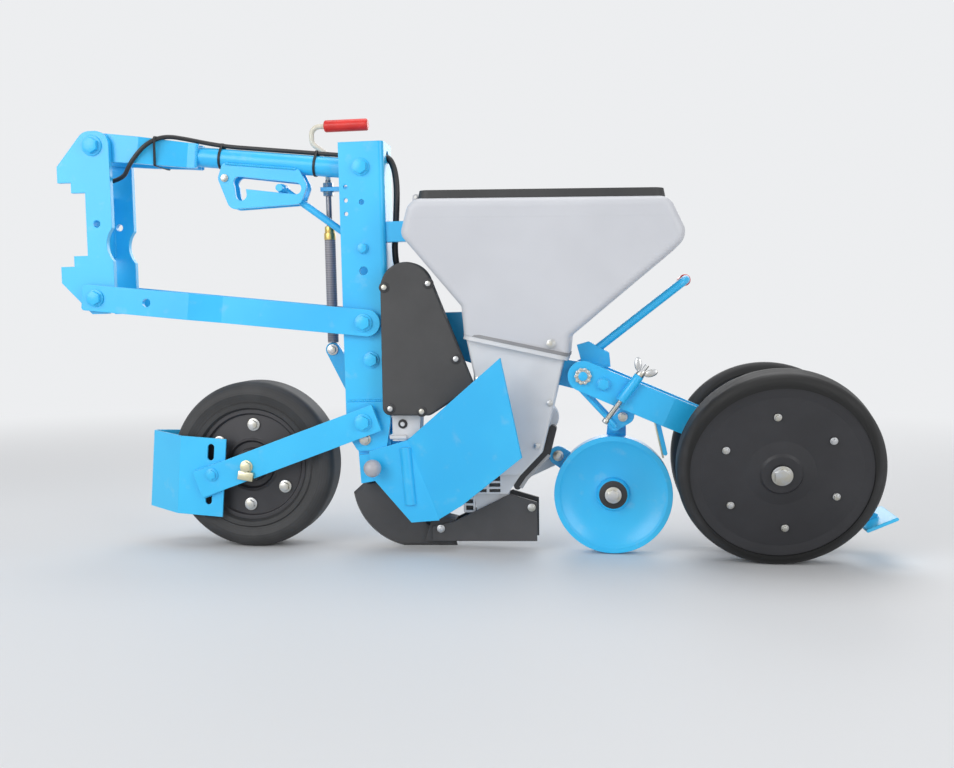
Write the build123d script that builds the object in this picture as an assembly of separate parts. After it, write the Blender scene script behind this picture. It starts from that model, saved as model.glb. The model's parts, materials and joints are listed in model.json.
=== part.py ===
"""One row unit of a precision planter: toolbar bracket, parallelogram linkage, column with hopper and
seed meter, gauge wheel, furrow opener, seed press wheel and a pair of V closing wheels."""
import math
import os

from build123d import *

# Driving dimensions, in millimetres and degrees. x runs rearward, z runs up and y = 0 is the seed row.
# The unit is drawn with its column upright, then pitched until its wheels stand on the floor.

# Parallelogram linkage
REAR_PIN_X = -452.0
LOWER_PIN_Z = 439.0
PIN_SPACING = 290.0
LINK_RUN = 518.0
LINK_RISE = 59.0
PIN_R = 12.0
PIN_PLAY = 0.25
HEAD_R = 17.0
HEAD_THICK = 9.0
SIDE_PLAY = 0.4

# Toolbar bracket
BRACKET_HALF = 55.0
BRACKET_PLATE = 12.0
BRACKET_REACH = 73.0
BRACKET_BACK = 33.0
BRACKET_TOP = 28.0
CHEEK_TOP_R = 28.0
BRACKET_FOOT = 30.0
SEAT_DEPTH = 55.0
SEAT_HEIGHT = 120.0
SEAT_MID_DROP = 148.0
MOUTH_STEP_DEPTH = 27.0
MOUTH_STEP_HEIGHT = 20.0
SEAT_PLATE = 10.0
JAW = 31.0
CROSS_HOLE_R = 7.0
BITE_R = 47.0
BITE_DEPTH = 12.0

# Links
FORK_HALF = 42.0
FORK_PLATE = 10.0
FORK_HEIGHT = 54.0
FORK_STRAIGHT = 85.0
FORK_TAPER = 90.0
TUBE_R = 19.0
EYE_R = 24.0
BAR_HEIGHT = 50.0
BAR_THICK = 10.0
BAR_FRONT_TAIL = 27.0
BAR_REAR_TAIL = 31.0
SPARE_HOLE_IN = 102.0
SPARE_HOLE_R = 8.0
JOGGLE_START = 275.0
JOGGLE_END = 337.0

# Transport lock: a slotted pair of plates under the upper link, and the rod whose pin runs in it
LOCK_PLATE_HALF = 18.0
LOCK_PLATE_THICK = 6.0
LOCK_PIN_R = 7.0
LOCK_SLOT_PLAY = 4.0
LOCK_ROD_R = 7.0
LOCK_PIN_HALF = 26.0
LOCK_PIVOT_DROP = 151.0
LOCK_PIVOT_R = 8.0
LOCK_EYE_R = 15.0
LOCK_PIN_BACK = 158.0
LOCK_PIN_DROP = 48.5

# Column
COLUMN_FRONT_X = -494.0
COLUMN_DEPTH = 85.0
COLUMN_HALF = 42.0
COLUMN_WALL = 6.0
COLUMN_TOP_Z = 776.0
COLUMN_BOTTOM_Z = 258.0
COLUMN_FOLD_R = 9.0
BAR_STANDOFF = 4.0
GUSSET_THICK = 8.0
CABLE_HOLE_R = 12.0
CABLE_NOTCH_DEPTH = 34.0
CABLE_NOTCH_WIDTH = 26.0

# Depth spindle and crank, in front of the column on its far side
SPINDLE_X = -533.0
SPINDLE_Y = 30.0
SPINDLE_ROD_R = 5.5
SLEEVE_R = 10.5
SLEEVE_TOP_Z = 614.0
SLEEVE_BOTTOM_Z = 402.0
SPINDLE_TOP_Z = 716.0
LUG_TOP_Z = 702.0
LUG_THICK = 8.0
LUG_HALF = 10.0
LUG_NOSE = 14.0
LEVER_EYE_Z = 388.0
CRANK_R = 5.0
GRIP_R = 11.5
GRIP_LENGTH = 86.0
GRIP_RISE = 43.0
CRANK_THROW = 30.0
CRANK_BEND_R = 16.0

# Gauge wheel on its fork
ARM_PIVOT_X = -456.0
ARM_PIVOT_Z = 253.0
AXLE_X = -684.0
AXLE_Z = 172.0
GAUGE_R = 160.0
GAUGE_WIDTH = 94.0
GAUGE_WALL = 54.0
ARM_IN = 58.0
ARM_THICK = 10.0
ARM_HEIGHT = 52.0
ARM_REACH = 104.0
ARM_TAIL = 27.0
AXLE_R = 10.0

# Clod deflector
DEFLECTOR_SHEET = 4.0
DEFLECTOR_HEIGHT = 150.0
DEFLECTOR_BACK = 55.0
DEFLECTOR_FOLD = 16.0
DEFLECTOR_NOSE = 58.0
DEFLECTOR_BOTTOM_Z = 74.0
DEFLECTOR_LEAN = 5.0
SLOT_IN = 29.0
SLOT_WIDTH = 13.0
SLOT_LENGTH = 32.0
SLOT_HEIGHTS = (38.0, 123.0)

# Hopper and lid. The rim slopes a little against the column, and the lid lies along it.
HOPPER_HALF = 110.0
HOPPER_WALL = 5.0
HOPPER_EDGE_R = 14.0
HOPPER_RIM_Z = 655.2
RIM_TILT = 1.44
RIM_FRONT_X = -352.0
RIM_REAR_X = 112.0
WAIST_FRONT_X = -371.5
WAIST_FRONT_Z = 598.0
WAIST_REAR_X = 146.0
WAIST_REAR_Z = 578.0
SHOULDER_R = 28.0
WAIST_FRONT_R = 20.0
WAIST_REAR_R = 30.0
NECK_HALF = 75.0
NECK_CORNER_R = 22.0
NECK_FRONT_HEIGHT = 52.0
NECK_REAR_HEIGHT = 37.0
NECK_ROOT_R = 8.0
SEAM_FRONT_X = -262.0
SEAM_REAR_X = -73.0
SEAM_FRONT_Z = 413.0
SEAM_REAR_Z = 369.0
MOUTH_INSET = 36.0
MOUTH_CORNER_R = 20.0
LID_THICK = 15.0
LID_FRONT_IN = 12.0
LID_REAR_IN = 6.0
LID_HALF = 94.0
LID_CORNER_R = 22.0
LID_BORDER = 34.0
LID_RECESS = 4.0
LID_GAP = 0.4
HINGE_R = 6.0
HINGE_PIN_R = 3.0
EAR_IN = 42.0
EAR_THICK = 14.0
SUPPORT_Z = 608.0
SUPPORT_HEIGHT = 38.0
SUPPORT_IN = 12.0

# Seed meter
METER_NEAR = 60.0
METER_FAR = 10.0
METER_FOOT_Z = 150.0
METER_EDGE_R = 5.0
FLANGE_THICK = 8.0
COVER_X = -188.0
COVER_Z = 252.0
COVER_R = 80.0
COVER_DEPTH = 36.0
SPIGOT_X = -127.0
SPIGOT_Z = 250.0
SPIGOT_R = 22.0
SPIGOT_RING = 9.0
SPIGOT_WALL = 3.0
SPIGOT_LENGTH = 48.0
CHUTE_HALF = 22.0
LUG_REACH = 24.3
RIB_DEPTH = 7.0

# Chain guard
GUARD_GAP = 0.5
GUARD_DEPTH = 24.0

# Furrow opener
SHOE_BOTTOM_Z = 8.0
SHOE_HALF = 16.0
SHOE_TAPER = 24.0
HEEL_HALF = 24.0
CHEEK_THICK = 6.0
STEM_HALF = 50.0
PANEL_SHEET = 4.0
PANEL_FLARE = 24.5
BEAD_R = 12.0
KNOB_R = 16.5

# Rear beam and closing arms
BEAM_THICK = 20.0
BEAM_TOP_Z = 455.0
BEAM_HEIGHT = 45.0
PIVOT_X = -46.0
PIVOT_Z = 332.0
PIVOT_TUBE_R = 25.0
CLOSING_ARM_IN = 44.0
CLOSING_ARM_THICK = 12.0
CLOSING_ARM_HEIGHT = 56.0
CLOSING_STEP_IN = 12.0
CLOSING_BEND_START = 168.0
CLOSING_BEND_END = 228.0
CLOSING_X = 297.0
CLOSING_Z = 166.0
CLOSING_Y = 92.0
CAMBER = 15.0
CLOSING_R = 180.0
CLOSING_WIDTH = 60.0
CLOSING_SHOULDER_R = 16.0
CLOSING_WALL = 22.0
STUB_R = 10.0
BLADE_FRONT_X = 455.0
BLADE_FRONT_Z = 47.0
BLADE_REAR_X = 505.0
BLADE_REAR_Z = 68.0
BLADE_HALF = 60.0
BLADE_THICK = 6.0

# Seed press wheel
PRESS_X = 5.0
PRESS_Z = 107.0
PRESS_R = 110.0
PRESS_WIDTH = 40.0
PRESS_HUB_R = 30.0
LUG_X = -98.0
LUG_Z = 176.0
LEG_IN = 26.0
LEG_THICK = 8.0
PRESS_AXLE_R = 9.0

# Pressure lever and adjuster
LEVER_R = 8.0
LEVER_Y = 10.0
LEVER_END_X = 146.0
LEVER_END_Z = 505.0
LEVER_TURN = 40.0
LEVER_GRIP_R = 11.0
LEVER_GRIP_LENGTH = 78.0
ADJUSTER_R = 9.0
ADJUSTER_ROD_R = 5.0

# Signal lead
CABLE_R = 4.2
SHEATH_R = 6.0
SHEATH_X = -401.0
SHEATH_Y = -4.0
LEAD_Y = -3.0
PLUG_R = 8.0
PLUG_LENGTH = 26.0

UPPER_PIN_Z = LOWER_PIN_Z + PIN_SPACING
FRONT_PIN_X = REAR_PIN_X - LINK_RUN
LINK_LENGTH = math.hypot(LINK_RUN, LINK_RISE)
LINK_SLOPE = math.degrees(math.atan2(LINK_RISE, LINK_RUN))
COLUMN_REAR_X = COLUMN_FRONT_X + COLUMN_DEPTH
COLUMN_INNER = COLUMN_HALF - COLUMN_WALL
GRIP_Z = COLUMN_TOP_Z + GRIP_RISE
BAR_FRONT_IN = BRACKET_HALF + BAR_STANDOFF
BAR_REAR_IN = COLUMN_HALF + BAR_STANDOFF
ARM_OUT = ARM_IN + ARM_THICK
GAUGE_RIM_R = GAUGE_R - GAUGE_WALL
DEFLECTOR_REAR_X = AXLE_X - DEFLECTOR_BACK
DEFLECTOR_FOLD_X = AXLE_X - GAUGE_R + DEFLECTOR_FOLD
DEFLECTOR_NOSE_X = AXLE_X - GAUGE_R - DEFLECTOR_NOSE
CLOSING_DISC_R = CLOSING_R - CLOSING_WALL
GUARD_IN = COLUMN_HALF + GUSSET_THICK + GUARD_GAP
SIDES = (-1, 1)


def slab(outline, y0, y1):
    """A side-view outline (x, z) as a solid between two depths."""
    low, high = min(y0, y1), max(y0, y1)
    return extrude(Plane.XZ.offset(-high) * outline, amount=high - low)


def disc(x, z, radius, y0, y1):
    """A round bar along y."""
    return slab(Pos(x, z) * Circle(radius), y0, y1)


def rod(start, end, radius):
    """A straight round bar between two points."""
    axis = Vector(*end) - Vector(*start)
    return extrude(Plane(origin=start, z_dir=axis) * Circle(radius), amount=axis.length)


def pipe(points, radius, bends):
    """A round bar along straight runs joined by tangent arcs."""
    path = FilletPolyline(*points, radius=bends)
    start = Plane(origin=path @ 0, z_dir=path % 0)
    return sweep(start * Circle(radius), path=path)


def hull(*rounds):
    """A side-view outline stretched round circles given as (x, z, radius)."""
    circles = [Pos(x, z) * Circle(radius) for x, z, radius in rounds]
    return make_hull([edge for circle in circles for edge in circle.edges()])


def outline(*points, corner=0.0):
    """A closed side-view outline with one corner radius."""
    if corner:
        return make_face(FilletPolyline(*points, radius=corner, close=True))
    return make_face(Polyline(*points, close=True))


def plan_strip(points, thickness, z0, z1):
    """Flat bar bent in plan view along (x, y) points."""
    return Pos(0, 0, z0) * extrude(trace(Polyline(*points), thickness), amount=z1 - z0)


def bolt(x, z, radius, half, head_r=HEAD_R, head=HEAD_THICK):
    """A cross bolt with a round head at each end, its heads outside the half width."""
    ends = [disc(x, z, head_r, side * half, side * (half + head)) for side in SIDES]
    return disc(x, z, radius, -half, half) + ends


def hollow_collar(x, z, outer, inner, y0, y1):
    """A ring round a cross bolt."""
    return disc(x, z, outer, y0, y1) - disc(x, z, inner, y0, y1)


parts = {}

# Toolbar bracket: two flame-cut cheeks, notched for the toolbar and stepped at the mouth, with a seat plate between
UPPER_FRONT_Z = UPPER_PIN_Z + LINK_RISE
LOWER_FRONT_Z = LOWER_PIN_Z + LINK_RISE
BRACKET_FRONT_X = FRONT_PIN_X - BRACKET_REACH
BRACKET_BACK_X = FRONT_PIN_X + BRACKET_BACK
SEAT_X = BRACKET_FRONT_X + SEAT_DEPTH
STEP_X = BRACKET_FRONT_X + MOUTH_STEP_DEPTH
SEAT_MID_Z = UPPER_FRONT_Z - SEAT_MID_DROP
SEAT_TOP_Z = SEAT_MID_Z + SEAT_HEIGHT / 2
SEAT_BOTTOM_Z = SEAT_MID_Z - SEAT_HEIGHT / 2
cheek = outline(
    (BRACKET_BACK_X, UPPER_FRONT_Z + BRACKET_TOP),
    (BRACKET_BACK_X, LOWER_FRONT_Z - BRACKET_FOOT + 14),
    (BRACKET_BACK_X - 16, LOWER_FRONT_Z - BRACKET_FOOT),
    (FRONT_PIN_X - 14, LOWER_FRONT_Z - BRACKET_FOOT),
    (BRACKET_FRONT_X, SEAT_BOTTOM_Z - MOUTH_STEP_HEIGHT - JAW),
    (BRACKET_FRONT_X, SEAT_BOTTOM_Z - MOUTH_STEP_HEIGHT),
    (STEP_X, SEAT_BOTTOM_Z - MOUTH_STEP_HEIGHT),
    (STEP_X, SEAT_BOTTOM_Z),
    (SEAT_X, SEAT_BOTTOM_Z),
    (SEAT_X, SEAT_TOP_Z),
    (STEP_X, SEAT_TOP_Z),
    (STEP_X, SEAT_TOP_Z + MOUTH_STEP_HEIGHT),
    (BRACKET_FRONT_X, SEAT_TOP_Z + MOUTH_STEP_HEIGHT),
    (BRACKET_FRONT_X, SEAT_TOP_Z + MOUTH_STEP_HEIGHT + JAW),
    (FRONT_PIN_X - 18, UPPER_FRONT_Z + BRACKET_TOP),
)
cheek = fillet(cheek.vertices().sort_by(Axis.Y)[-2:], CHEEK_TOP_R)
BITE_X = BRACKET_BACK_X - BITE_DEPTH + BITE_R
for x, z, radius in (
    (FRONT_PIN_X, UPPER_FRONT_Z, PIN_R),
    (FRONT_PIN_X, LOWER_FRONT_Z, PIN_R),
    (FRONT_PIN_X + 3, SEAT_MID_Z, CROSS_HOLE_R),
    (BITE_X, SEAT_MID_Z - 40, BITE_R),
):
    cheek -= Pos(x, z) * Circle(radius)
for side, name in zip(SIDES, ("near", "far")):
    parts[f"bracket_cheek_{name}"] = slab(cheek, side * (BRACKET_HALF - BRACKET_PLATE), side * BRACKET_HALF)
seat = Pos(SEAT_X + SEAT_PLATE / 2, SEAT_MID_Z) * Rectangle(SEAT_PLATE, SEAT_HEIGHT)
parts["seat_plate"] = slab(seat, BRACKET_PLATE - BRACKET_HALF, BRACKET_HALF - BRACKET_PLATE)
front_bolts = bolt(FRONT_PIN_X, UPPER_FRONT_Z, PIN_R, BRACKET_HALF)
front_bolts += bolt(FRONT_PIN_X, LOWER_FRONT_Z, PIN_R, BAR_FRONT_IN + BAR_THICK + SIDE_PLAY)
front_bolts += [
    disc(FRONT_PIN_X, LOWER_FRONT_Z, HEAD_R, side * BRACKET_HALF, side * (BAR_FRONT_IN - SIDE_PLAY))
    for side in SIDES]
parts["front_pivot_bolts"] = front_bolts

# Upper link: a forked front end drawn in to a tube, an eye at the column and the slotted lock plates below
fork = None
for side in SIDES:
    route = (
        (-LINK_LENGTH - FORK_HEIGHT / 2, side * (FORK_HALF - FORK_PLATE / 2)),
        (-LINK_LENGTH + FORK_STRAIGHT, side * (FORK_HALF - FORK_PLATE / 2)),
        (-LINK_LENGTH + FORK_STRAIGHT + FORK_TAPER, side * (TUBE_R - FORK_PLATE / 2)),
        (-LINK_LENGTH + FORK_STRAIGHT + FORK_TAPER + TUBE_R, side * (TUBE_R - FORK_PLATE / 2)),
    )
    arm = plan_strip(route, FORK_PLATE, -FORK_HEIGHT / 2, FORK_HEIGHT / 2)
    fork = arm if fork is None else fork + arm
FORK_ROOT = -LINK_LENGTH + FORK_STRAIGHT + FORK_TAPER
fork_side = hull(
    (-LINK_LENGTH, 0, FORK_HEIGHT / 2),
    (FORK_ROOT + FORK_TAPER, 0, TUBE_R + 3),
)
fork = fork & slab(fork_side, -FORK_HALF, FORK_HALF)
lock_side = hull((-266, -20, 12), (-268, -38, 14), (-244, -78, 17), (-126, -64, 13), (-122, -42, 15), (-130, -20, 10))
SLOT_R = LOCK_PIN_R + LOCK_SLOT_PLAY
lock_side -= hull((-240, -44, SLOT_R), (-128, -47, SLOT_R))
lock_side -= hull((-239, -44, SLOT_R), (-234, -67, SLOT_R))
lock_plates = [
    slab(lock_side, side * (LOCK_PLATE_HALF - LOCK_PLATE_THICK), side * LOCK_PLATE_HALF) for side in SIDES]
upper = rod((FORK_ROOT - FORK_TAPER / 3, 0, 0), (0, 0, 0), TUBE_R) + fork + lock_plates
upper += disc(0, 0, EYE_R, -COLUMN_INNER + SIDE_PLAY, COLUMN_INNER - SIDE_PLAY)
for x in (0, -LINK_LENGTH):
    upper -= disc(x, 0, PIN_R + PIN_PLAY, -BRACKET_HALF, BRACKET_HALF)
upper_place = Pos(REAR_PIN_X, 0, UPPER_PIN_Z) * Rot(0, LINK_SLOPE, 0)
parts["upper_link"] = upper_place * upper

# Lower link: two flat bars, joggled from the bracket's width in to the column's width
lower_place = Pos(REAR_PIN_X, 0, LOWER_PIN_Z) * Rot(0, LINK_SLOPE, 0)
bar_side = hull(
    (BAR_REAR_TAIL - BAR_HEIGHT / 2, 0, BAR_HEIGHT / 2),
    (-LINK_LENGTH - BAR_FRONT_TAIL + 6, BAR_HEIGHT / 2 - 6, 6),
    (-LINK_LENGTH - BAR_FRONT_TAIL + 6, -BAR_HEIGHT / 2 + 6, 6),
)
for x, radius in ((0, PIN_R + PIN_PLAY), (-LINK_LENGTH, PIN_R + PIN_PLAY), (-LINK_LENGTH + SPARE_HOLE_IN, SPARE_HOLE_R)):
    bar_side -= Pos(x, 0) * Circle(radius)
for side, name in zip(SIDES, ("near", "far")):
    front_y = side * (BAR_FRONT_IN + BAR_THICK / 2)
    rear_y = side * (BAR_REAR_IN + BAR_THICK / 2)
    route = (
        (-LINK_LENGTH - BAR_HEIGHT, front_y),
        (-JOGGLE_END, front_y),
        (-JOGGLE_START, rear_y),
        (BAR_HEIGHT, rear_y),
    )
    bar = plan_strip(route, BAR_THICK, -BAR_HEIGHT / 2, BAR_HEIGHT / 2)
    bar = bar & slab(bar_side, -BAR_FRONT_IN - BAR_THICK, BAR_FRONT_IN + BAR_THICK)
    parts[f"lower_link_{name}"] = lower_place * bar

# Transport lock rod: an eye on a cross bolt in the column, a round shank and a cross pin in the lock slots
LOCK_PIVOT_Z = UPPER_PIN_Z - LOCK_PIVOT_DROP
lock_pin = (upper_place * Pos(-LOCK_PIN_BACK, 0, -LOCK_PIN_DROP)).position
lock_rod = rod((REAR_PIN_X, 0, LOCK_PIVOT_Z), (lock_pin.X, 0, lock_pin.Z), LOCK_ROD_R)
lock_rod += disc(REAR_PIN_X, LOCK_PIVOT_Z, LOCK_EYE_R, -LOCK_ROD_R - 2, LOCK_ROD_R + 2)
lock_rod -= disc(REAR_PIN_X, LOCK_PIVOT_Z, LOCK_PIVOT_R + PIN_PLAY, -COLUMN_HALF, COLUMN_HALF)
lock_rod += disc(lock_pin.X, lock_pin.Z, LOCK_ROD_R + 2, -LOCK_PLATE_HALF + LOCK_PLATE_THICK + 2,
                 LOCK_PLATE_HALF - LOCK_PLATE_THICK - 2)
lock_rod += disc(lock_pin.X, lock_pin.Z, LOCK_PIN_R, -LOCK_PIN_HALF, LOCK_PIN_HALF)
parts["lock_rod"] = lock_rod

# Column: a plate folded to a channel, open to the front, with a cap, gussets at its foot and a spindle lug
column_plan = Pos((COLUMN_FRONT_X + COLUMN_REAR_X) / 2, 0) * Rectangle(COLUMN_DEPTH, 2 * COLUMN_HALF)
channel = Pos(0, 0, COLUMN_BOTTOM_Z) * extrude(column_plan, amount=COLUMN_TOP_Z - COLUMN_BOTTOM_Z)
folds = channel.edges().filter_by(Axis.Z).group_by(Axis.X)[-1]
channel = fillet(folds, COLUMN_FOLD_R)
hollow = Pos((COLUMN_FRONT_X + COLUMN_REAR_X - COLUMN_WALL) / 2, 0) * Rectangle(
    COLUMN_DEPTH - COLUMN_WALL, 2 * COLUMN_INNER)
channel -= Pos(0, 0, COLUMN_BOTTOM_Z) * extrude(
    hollow, amount=COLUMN_TOP_Z - COLUMN_WALL - COLUMN_BOTTOM_Z)
GUSSET_FOOT_Z = 198.0
gusset = outline(
    (COLUMN_FRONT_X + 3, COLUMN_BOTTOM_Z + 32), (COLUMN_REAR_X - 4, COLUMN_BOTTOM_Z + 32),
    (COLUMN_REAR_X + 2, COLUMN_BOTTOM_Z), (COLUMN_REAR_X - 8, GUSSET_FOOT_Z),
    (COLUMN_FRONT_X + 22, GUSSET_FOOT_Z), (COLUMN_FRONT_X + 3, GUSSET_FOOT_Z + 32), corner=8)
for side in SIDES:
    channel += slab(gusset, side * COLUMN_HALF, side * (COLUMN_HALF + GUSSET_THICK))
LUG_LENGTH = COLUMN_FRONT_X + COLUMN_WALL - SPINDLE_X + LUG_NOSE
lug = Pos(SPINDLE_X - LUG_NOSE + LUG_LENGTH / 2, COLUMN_HALF - LUG_HALF) * Rectangle(LUG_LENGTH, 2 * LUG_HALF)
channel += Pos(0, 0, LUG_TOP_Z - LUG_THICK) * extrude(lug, amount=LUG_THICK)
channel -= Pos(SPINDLE_X, SPINDLE_Y, LUG_TOP_Z - LUG_THICK) * Cylinder(
    SPINDLE_ROD_R, LUG_THICK, align=(Align.CENTER, Align.CENTER, Align.MIN))
for z, radius in ((UPPER_PIN_Z, PIN_R), (LOWER_PIN_Z, PIN_R), (LOCK_PIVOT_Z, LOCK_PIVOT_R)):
    channel -= disc(REAR_PIN_X, z, radius, -COLUMN_HALF, COLUMN_HALF)
channel -= disc(ARM_PIVOT_X, ARM_PIVOT_Z, PIN_R, -COLUMN_HALF - GUSSET_THICK, COLUMN_HALF + GUSSET_THICK)
for x, z, radius in (
    (COLUMN_FRONT_X + 12, UPPER_PIN_Z - 36, 4), (COLUMN_FRONT_X + 12, UPPER_PIN_Z - 61, 4),
    (COLUMN_FRONT_X + 12, UPPER_PIN_Z - 86, 4), (REAR_PIN_X, UPPER_PIN_Z - 65, 5),
    (REAR_PIN_X, LOWER_PIN_Z + 97, 8), (REAR_PIN_X + 10, LOWER_PIN_Z - 70, 8),
):
    channel -= disc(x, z, radius, -COLUMN_HALF, COLUMN_HALF)
cable_notch = Pos(COLUMN_FRONT_X, LEAD_Y) * Rectangle(2 * CABLE_NOTCH_DEPTH, CABLE_NOTCH_WIDTH)
channel -= Pos(0, 0, COLUMN_TOP_Z - COLUMN_WALL) * extrude(cable_notch, amount=COLUMN_WALL)
CABLE_HOLE_Z = UPPER_PIN_Z + 21
channel -= rod((COLUMN_REAR_X - 2 * COLUMN_WALL, 0, CABLE_HOLE_Z), (COLUMN_REAR_X, 0, CABLE_HOLE_Z), CABLE_HOLE_R)
parts["column"] = channel
rear_bolts = bolt(REAR_PIN_X, UPPER_PIN_Z, PIN_R, COLUMN_HALF)
rear_bolts += bolt(REAR_PIN_X, LOWER_PIN_Z, PIN_R, BAR_REAR_IN + BAR_THICK + SIDE_PLAY)
rear_bolts += bolt(REAR_PIN_X, LOCK_PIVOT_Z, LOCK_PIVOT_R, COLUMN_HALF, head_r=12, head=7)
rear_bolts += [
    disc(REAR_PIN_X, LOWER_PIN_Z, HEAD_R, side * COLUMN_HALF, side * (BAR_REAR_IN - SIDE_PLAY)) for side in SIDES]
parts["column_pivot_bolts"] = rear_bolts

# Depth spindle: a threaded rod turned by the crank, in a sleeve pinned to the lever of the gauge wheel's fork
parts["depth_spindle"] = rod(
    (SPINDLE_X, SPINDLE_Y, SLEEVE_TOP_Z), (SPINDLE_X, SPINDLE_Y, SPINDLE_TOP_Z), SPINDLE_ROD_R)
LEVER_HALF = 5.5
sleeve = rod((SPINDLE_X, SPINDLE_Y, SLEEVE_BOTTOM_Z), (SPINDLE_X, SPINDLE_Y, SLEEVE_TOP_Z), SLEEVE_R)
parts["spindle_sleeve"] = sleeve
grip_start = SPINDLE_X - CRANK_BEND_R / 4
crank_route = (
    (SPINDLE_X, SPINDLE_Y, SPINDLE_TOP_Z), (SPINDLE_X, SPINDLE_Y, GRIP_Z - 54),
    (SPINDLE_X - CRANK_THROW, SPINDLE_Y, GRIP_Z - 32), (SPINDLE_X - CRANK_THROW, SPINDLE_Y, GRIP_Z),
    (grip_start, SPINDLE_Y, GRIP_Z))
parts["depth_crank"] = pipe(crank_route, CRANK_R, CRANK_BEND_R)
crank_grip = rod((grip_start, SPINDLE_Y, GRIP_Z), (grip_start + GRIP_LENGTH, SPINDLE_Y, GRIP_Z), GRIP_R)
parts["crank_grip"] = fillet(crank_grip.edges(), 4)

# Gauge wheel fork: two flat arms on a cross pin through the column's gussets, and the lever under the spindle
arm_vector = Vector(AXLE_X - ARM_PIVOT_X, AXLE_Z - ARM_PIVOT_Z)
arm_unit = arm_vector.normalized()
arm_normal = Vector(-arm_unit.Y, arm_unit.X)
arm_corners = []
for middle in (Vector(ARM_PIVOT_X, ARM_PIVOT_Z) - arm_unit * (ARM_TAIL - 3),
               Vector(AXLE_X, AXLE_Z) + arm_unit * (ARM_REACH - 3)):
    arm_corners += [middle + arm_normal * (step * (ARM_HEIGHT / 2 - 3)) for step in SIDES]
arm_side = hull(*[(corner.X, corner.Y, 3) for corner in arm_corners])
for x, z, radius in ((ARM_PIVOT_X, ARM_PIVOT_Z, PIN_R), (AXLE_X, AXLE_Z, AXLE_R)):
    arm_side -= Pos(x, z) * Circle(radius)
for side, name in zip(SIDES, ("near", "far")):
    parts[f"gauge_arm_{name}"] = slab(arm_side, side * ARM_IN, side * ARM_OUT)
lever_side = hull((ARM_PIVOT_X, ARM_PIVOT_Z, 24), (SPINDLE_X, LEVER_EYE_Z, 14))
lever_side -= Pos(ARM_PIVOT_X, ARM_PIVOT_Z) * Circle(PIN_R)
parts["depth_lever"] = slab(lever_side, SPINDLE_Y - LEVER_HALF, SPINDLE_Y + LEVER_HALF)
arm_pin = bolt(ARM_PIVOT_X, ARM_PIVOT_Z, PIN_R, ARM_OUT)
arm_pin += [disc(ARM_PIVOT_X, ARM_PIVOT_Z, HEAD_R + 3, side * (COLUMN_HALF + GUSSET_THICK), side * ARM_IN)
            for side in SIDES]
parts["gauge_arm_pin"] = arm_pin

# Gauge wheel: a smooth wide tyre on a pressed rim, turning on a through axle
HALF = GAUGE_WIDTH / 2
tyre = make_face([
    Polyline((GAUGE_RIM_R, -HALF + 10), (GAUGE_RIM_R + 4, -HALF + 3), (GAUGE_RIM_R + 12, -HALF + 2),
             (GAUGE_RIM_R + 15, -HALF + 5), (GAUGE_RIM_R + 19, -HALF + 4), (GAUGE_R - 24, -HALF)),
    ThreePointArc((GAUGE_R - 24, -HALF), (GAUGE_R - 7, -HALF + 7), (GAUGE_R, -HALF + 24)),
    Line((GAUGE_R, -HALF + 24), (GAUGE_R, HALF - 24)),
    ThreePointArc((GAUGE_R, HALF - 24), (GAUGE_R - 7, HALF - 7), (GAUGE_R - 24, HALF)),
    Polyline((GAUGE_R - 24, HALF), (GAUGE_RIM_R + 19, HALF - 4), (GAUGE_RIM_R + 15, HALF - 5),
             (GAUGE_RIM_R + 12, HALF - 2), (GAUGE_RIM_R + 4, HALF - 3), (GAUGE_RIM_R, HALF - 10)),
    Line((GAUGE_RIM_R, HALF - 10), (GAUGE_RIM_R, -HALF + 10)),
])
gauge_place = Pos(AXLE_X, 0, AXLE_Z)
parts["gauge_tyre"] = gauge_place * revolve(tyre, Axis.Y)
HUB_HALF = ARM_IN - 6
RIM_WELL_R = GAUGE_RIM_R - 10
rim_points = (
    (AXLE_R + PIN_PLAY, -HUB_HALF), (30, -HUB_HALF), (33, -HALF + 16), (43, -HALF + 16), (47, -HALF + 10),
    (52, -HALF + 14), (RIM_WELL_R, -HALF + 16), (RIM_WELL_R + 3, -HALF + 10), (GAUGE_RIM_R, -HALF + 10),
    (GAUGE_RIM_R, HALF - 10), (RIM_WELL_R + 3, HALF - 10), (RIM_WELL_R, HALF - 16), (52, HALF - 14),
    (47, HALF - 10), (43, HALF - 16), (33, HALF - 16), (30, HUB_HALF), (AXLE_R + PIN_PLAY, HUB_HALF))
parts["gauge_rim"] = gauge_place * revolve(outline(*rim_points), Axis.Y)
axle = bolt(AXLE_X, AXLE_Z, AXLE_R, ARM_OUT)
axle += [hollow_collar(AXLE_X, AXLE_Z, 16, AXLE_R, side * (HUB_HALF + SIDE_PLAY), side * ARM_IN) for side in SIDES]
parts["gauge_axle"] = axle

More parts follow.
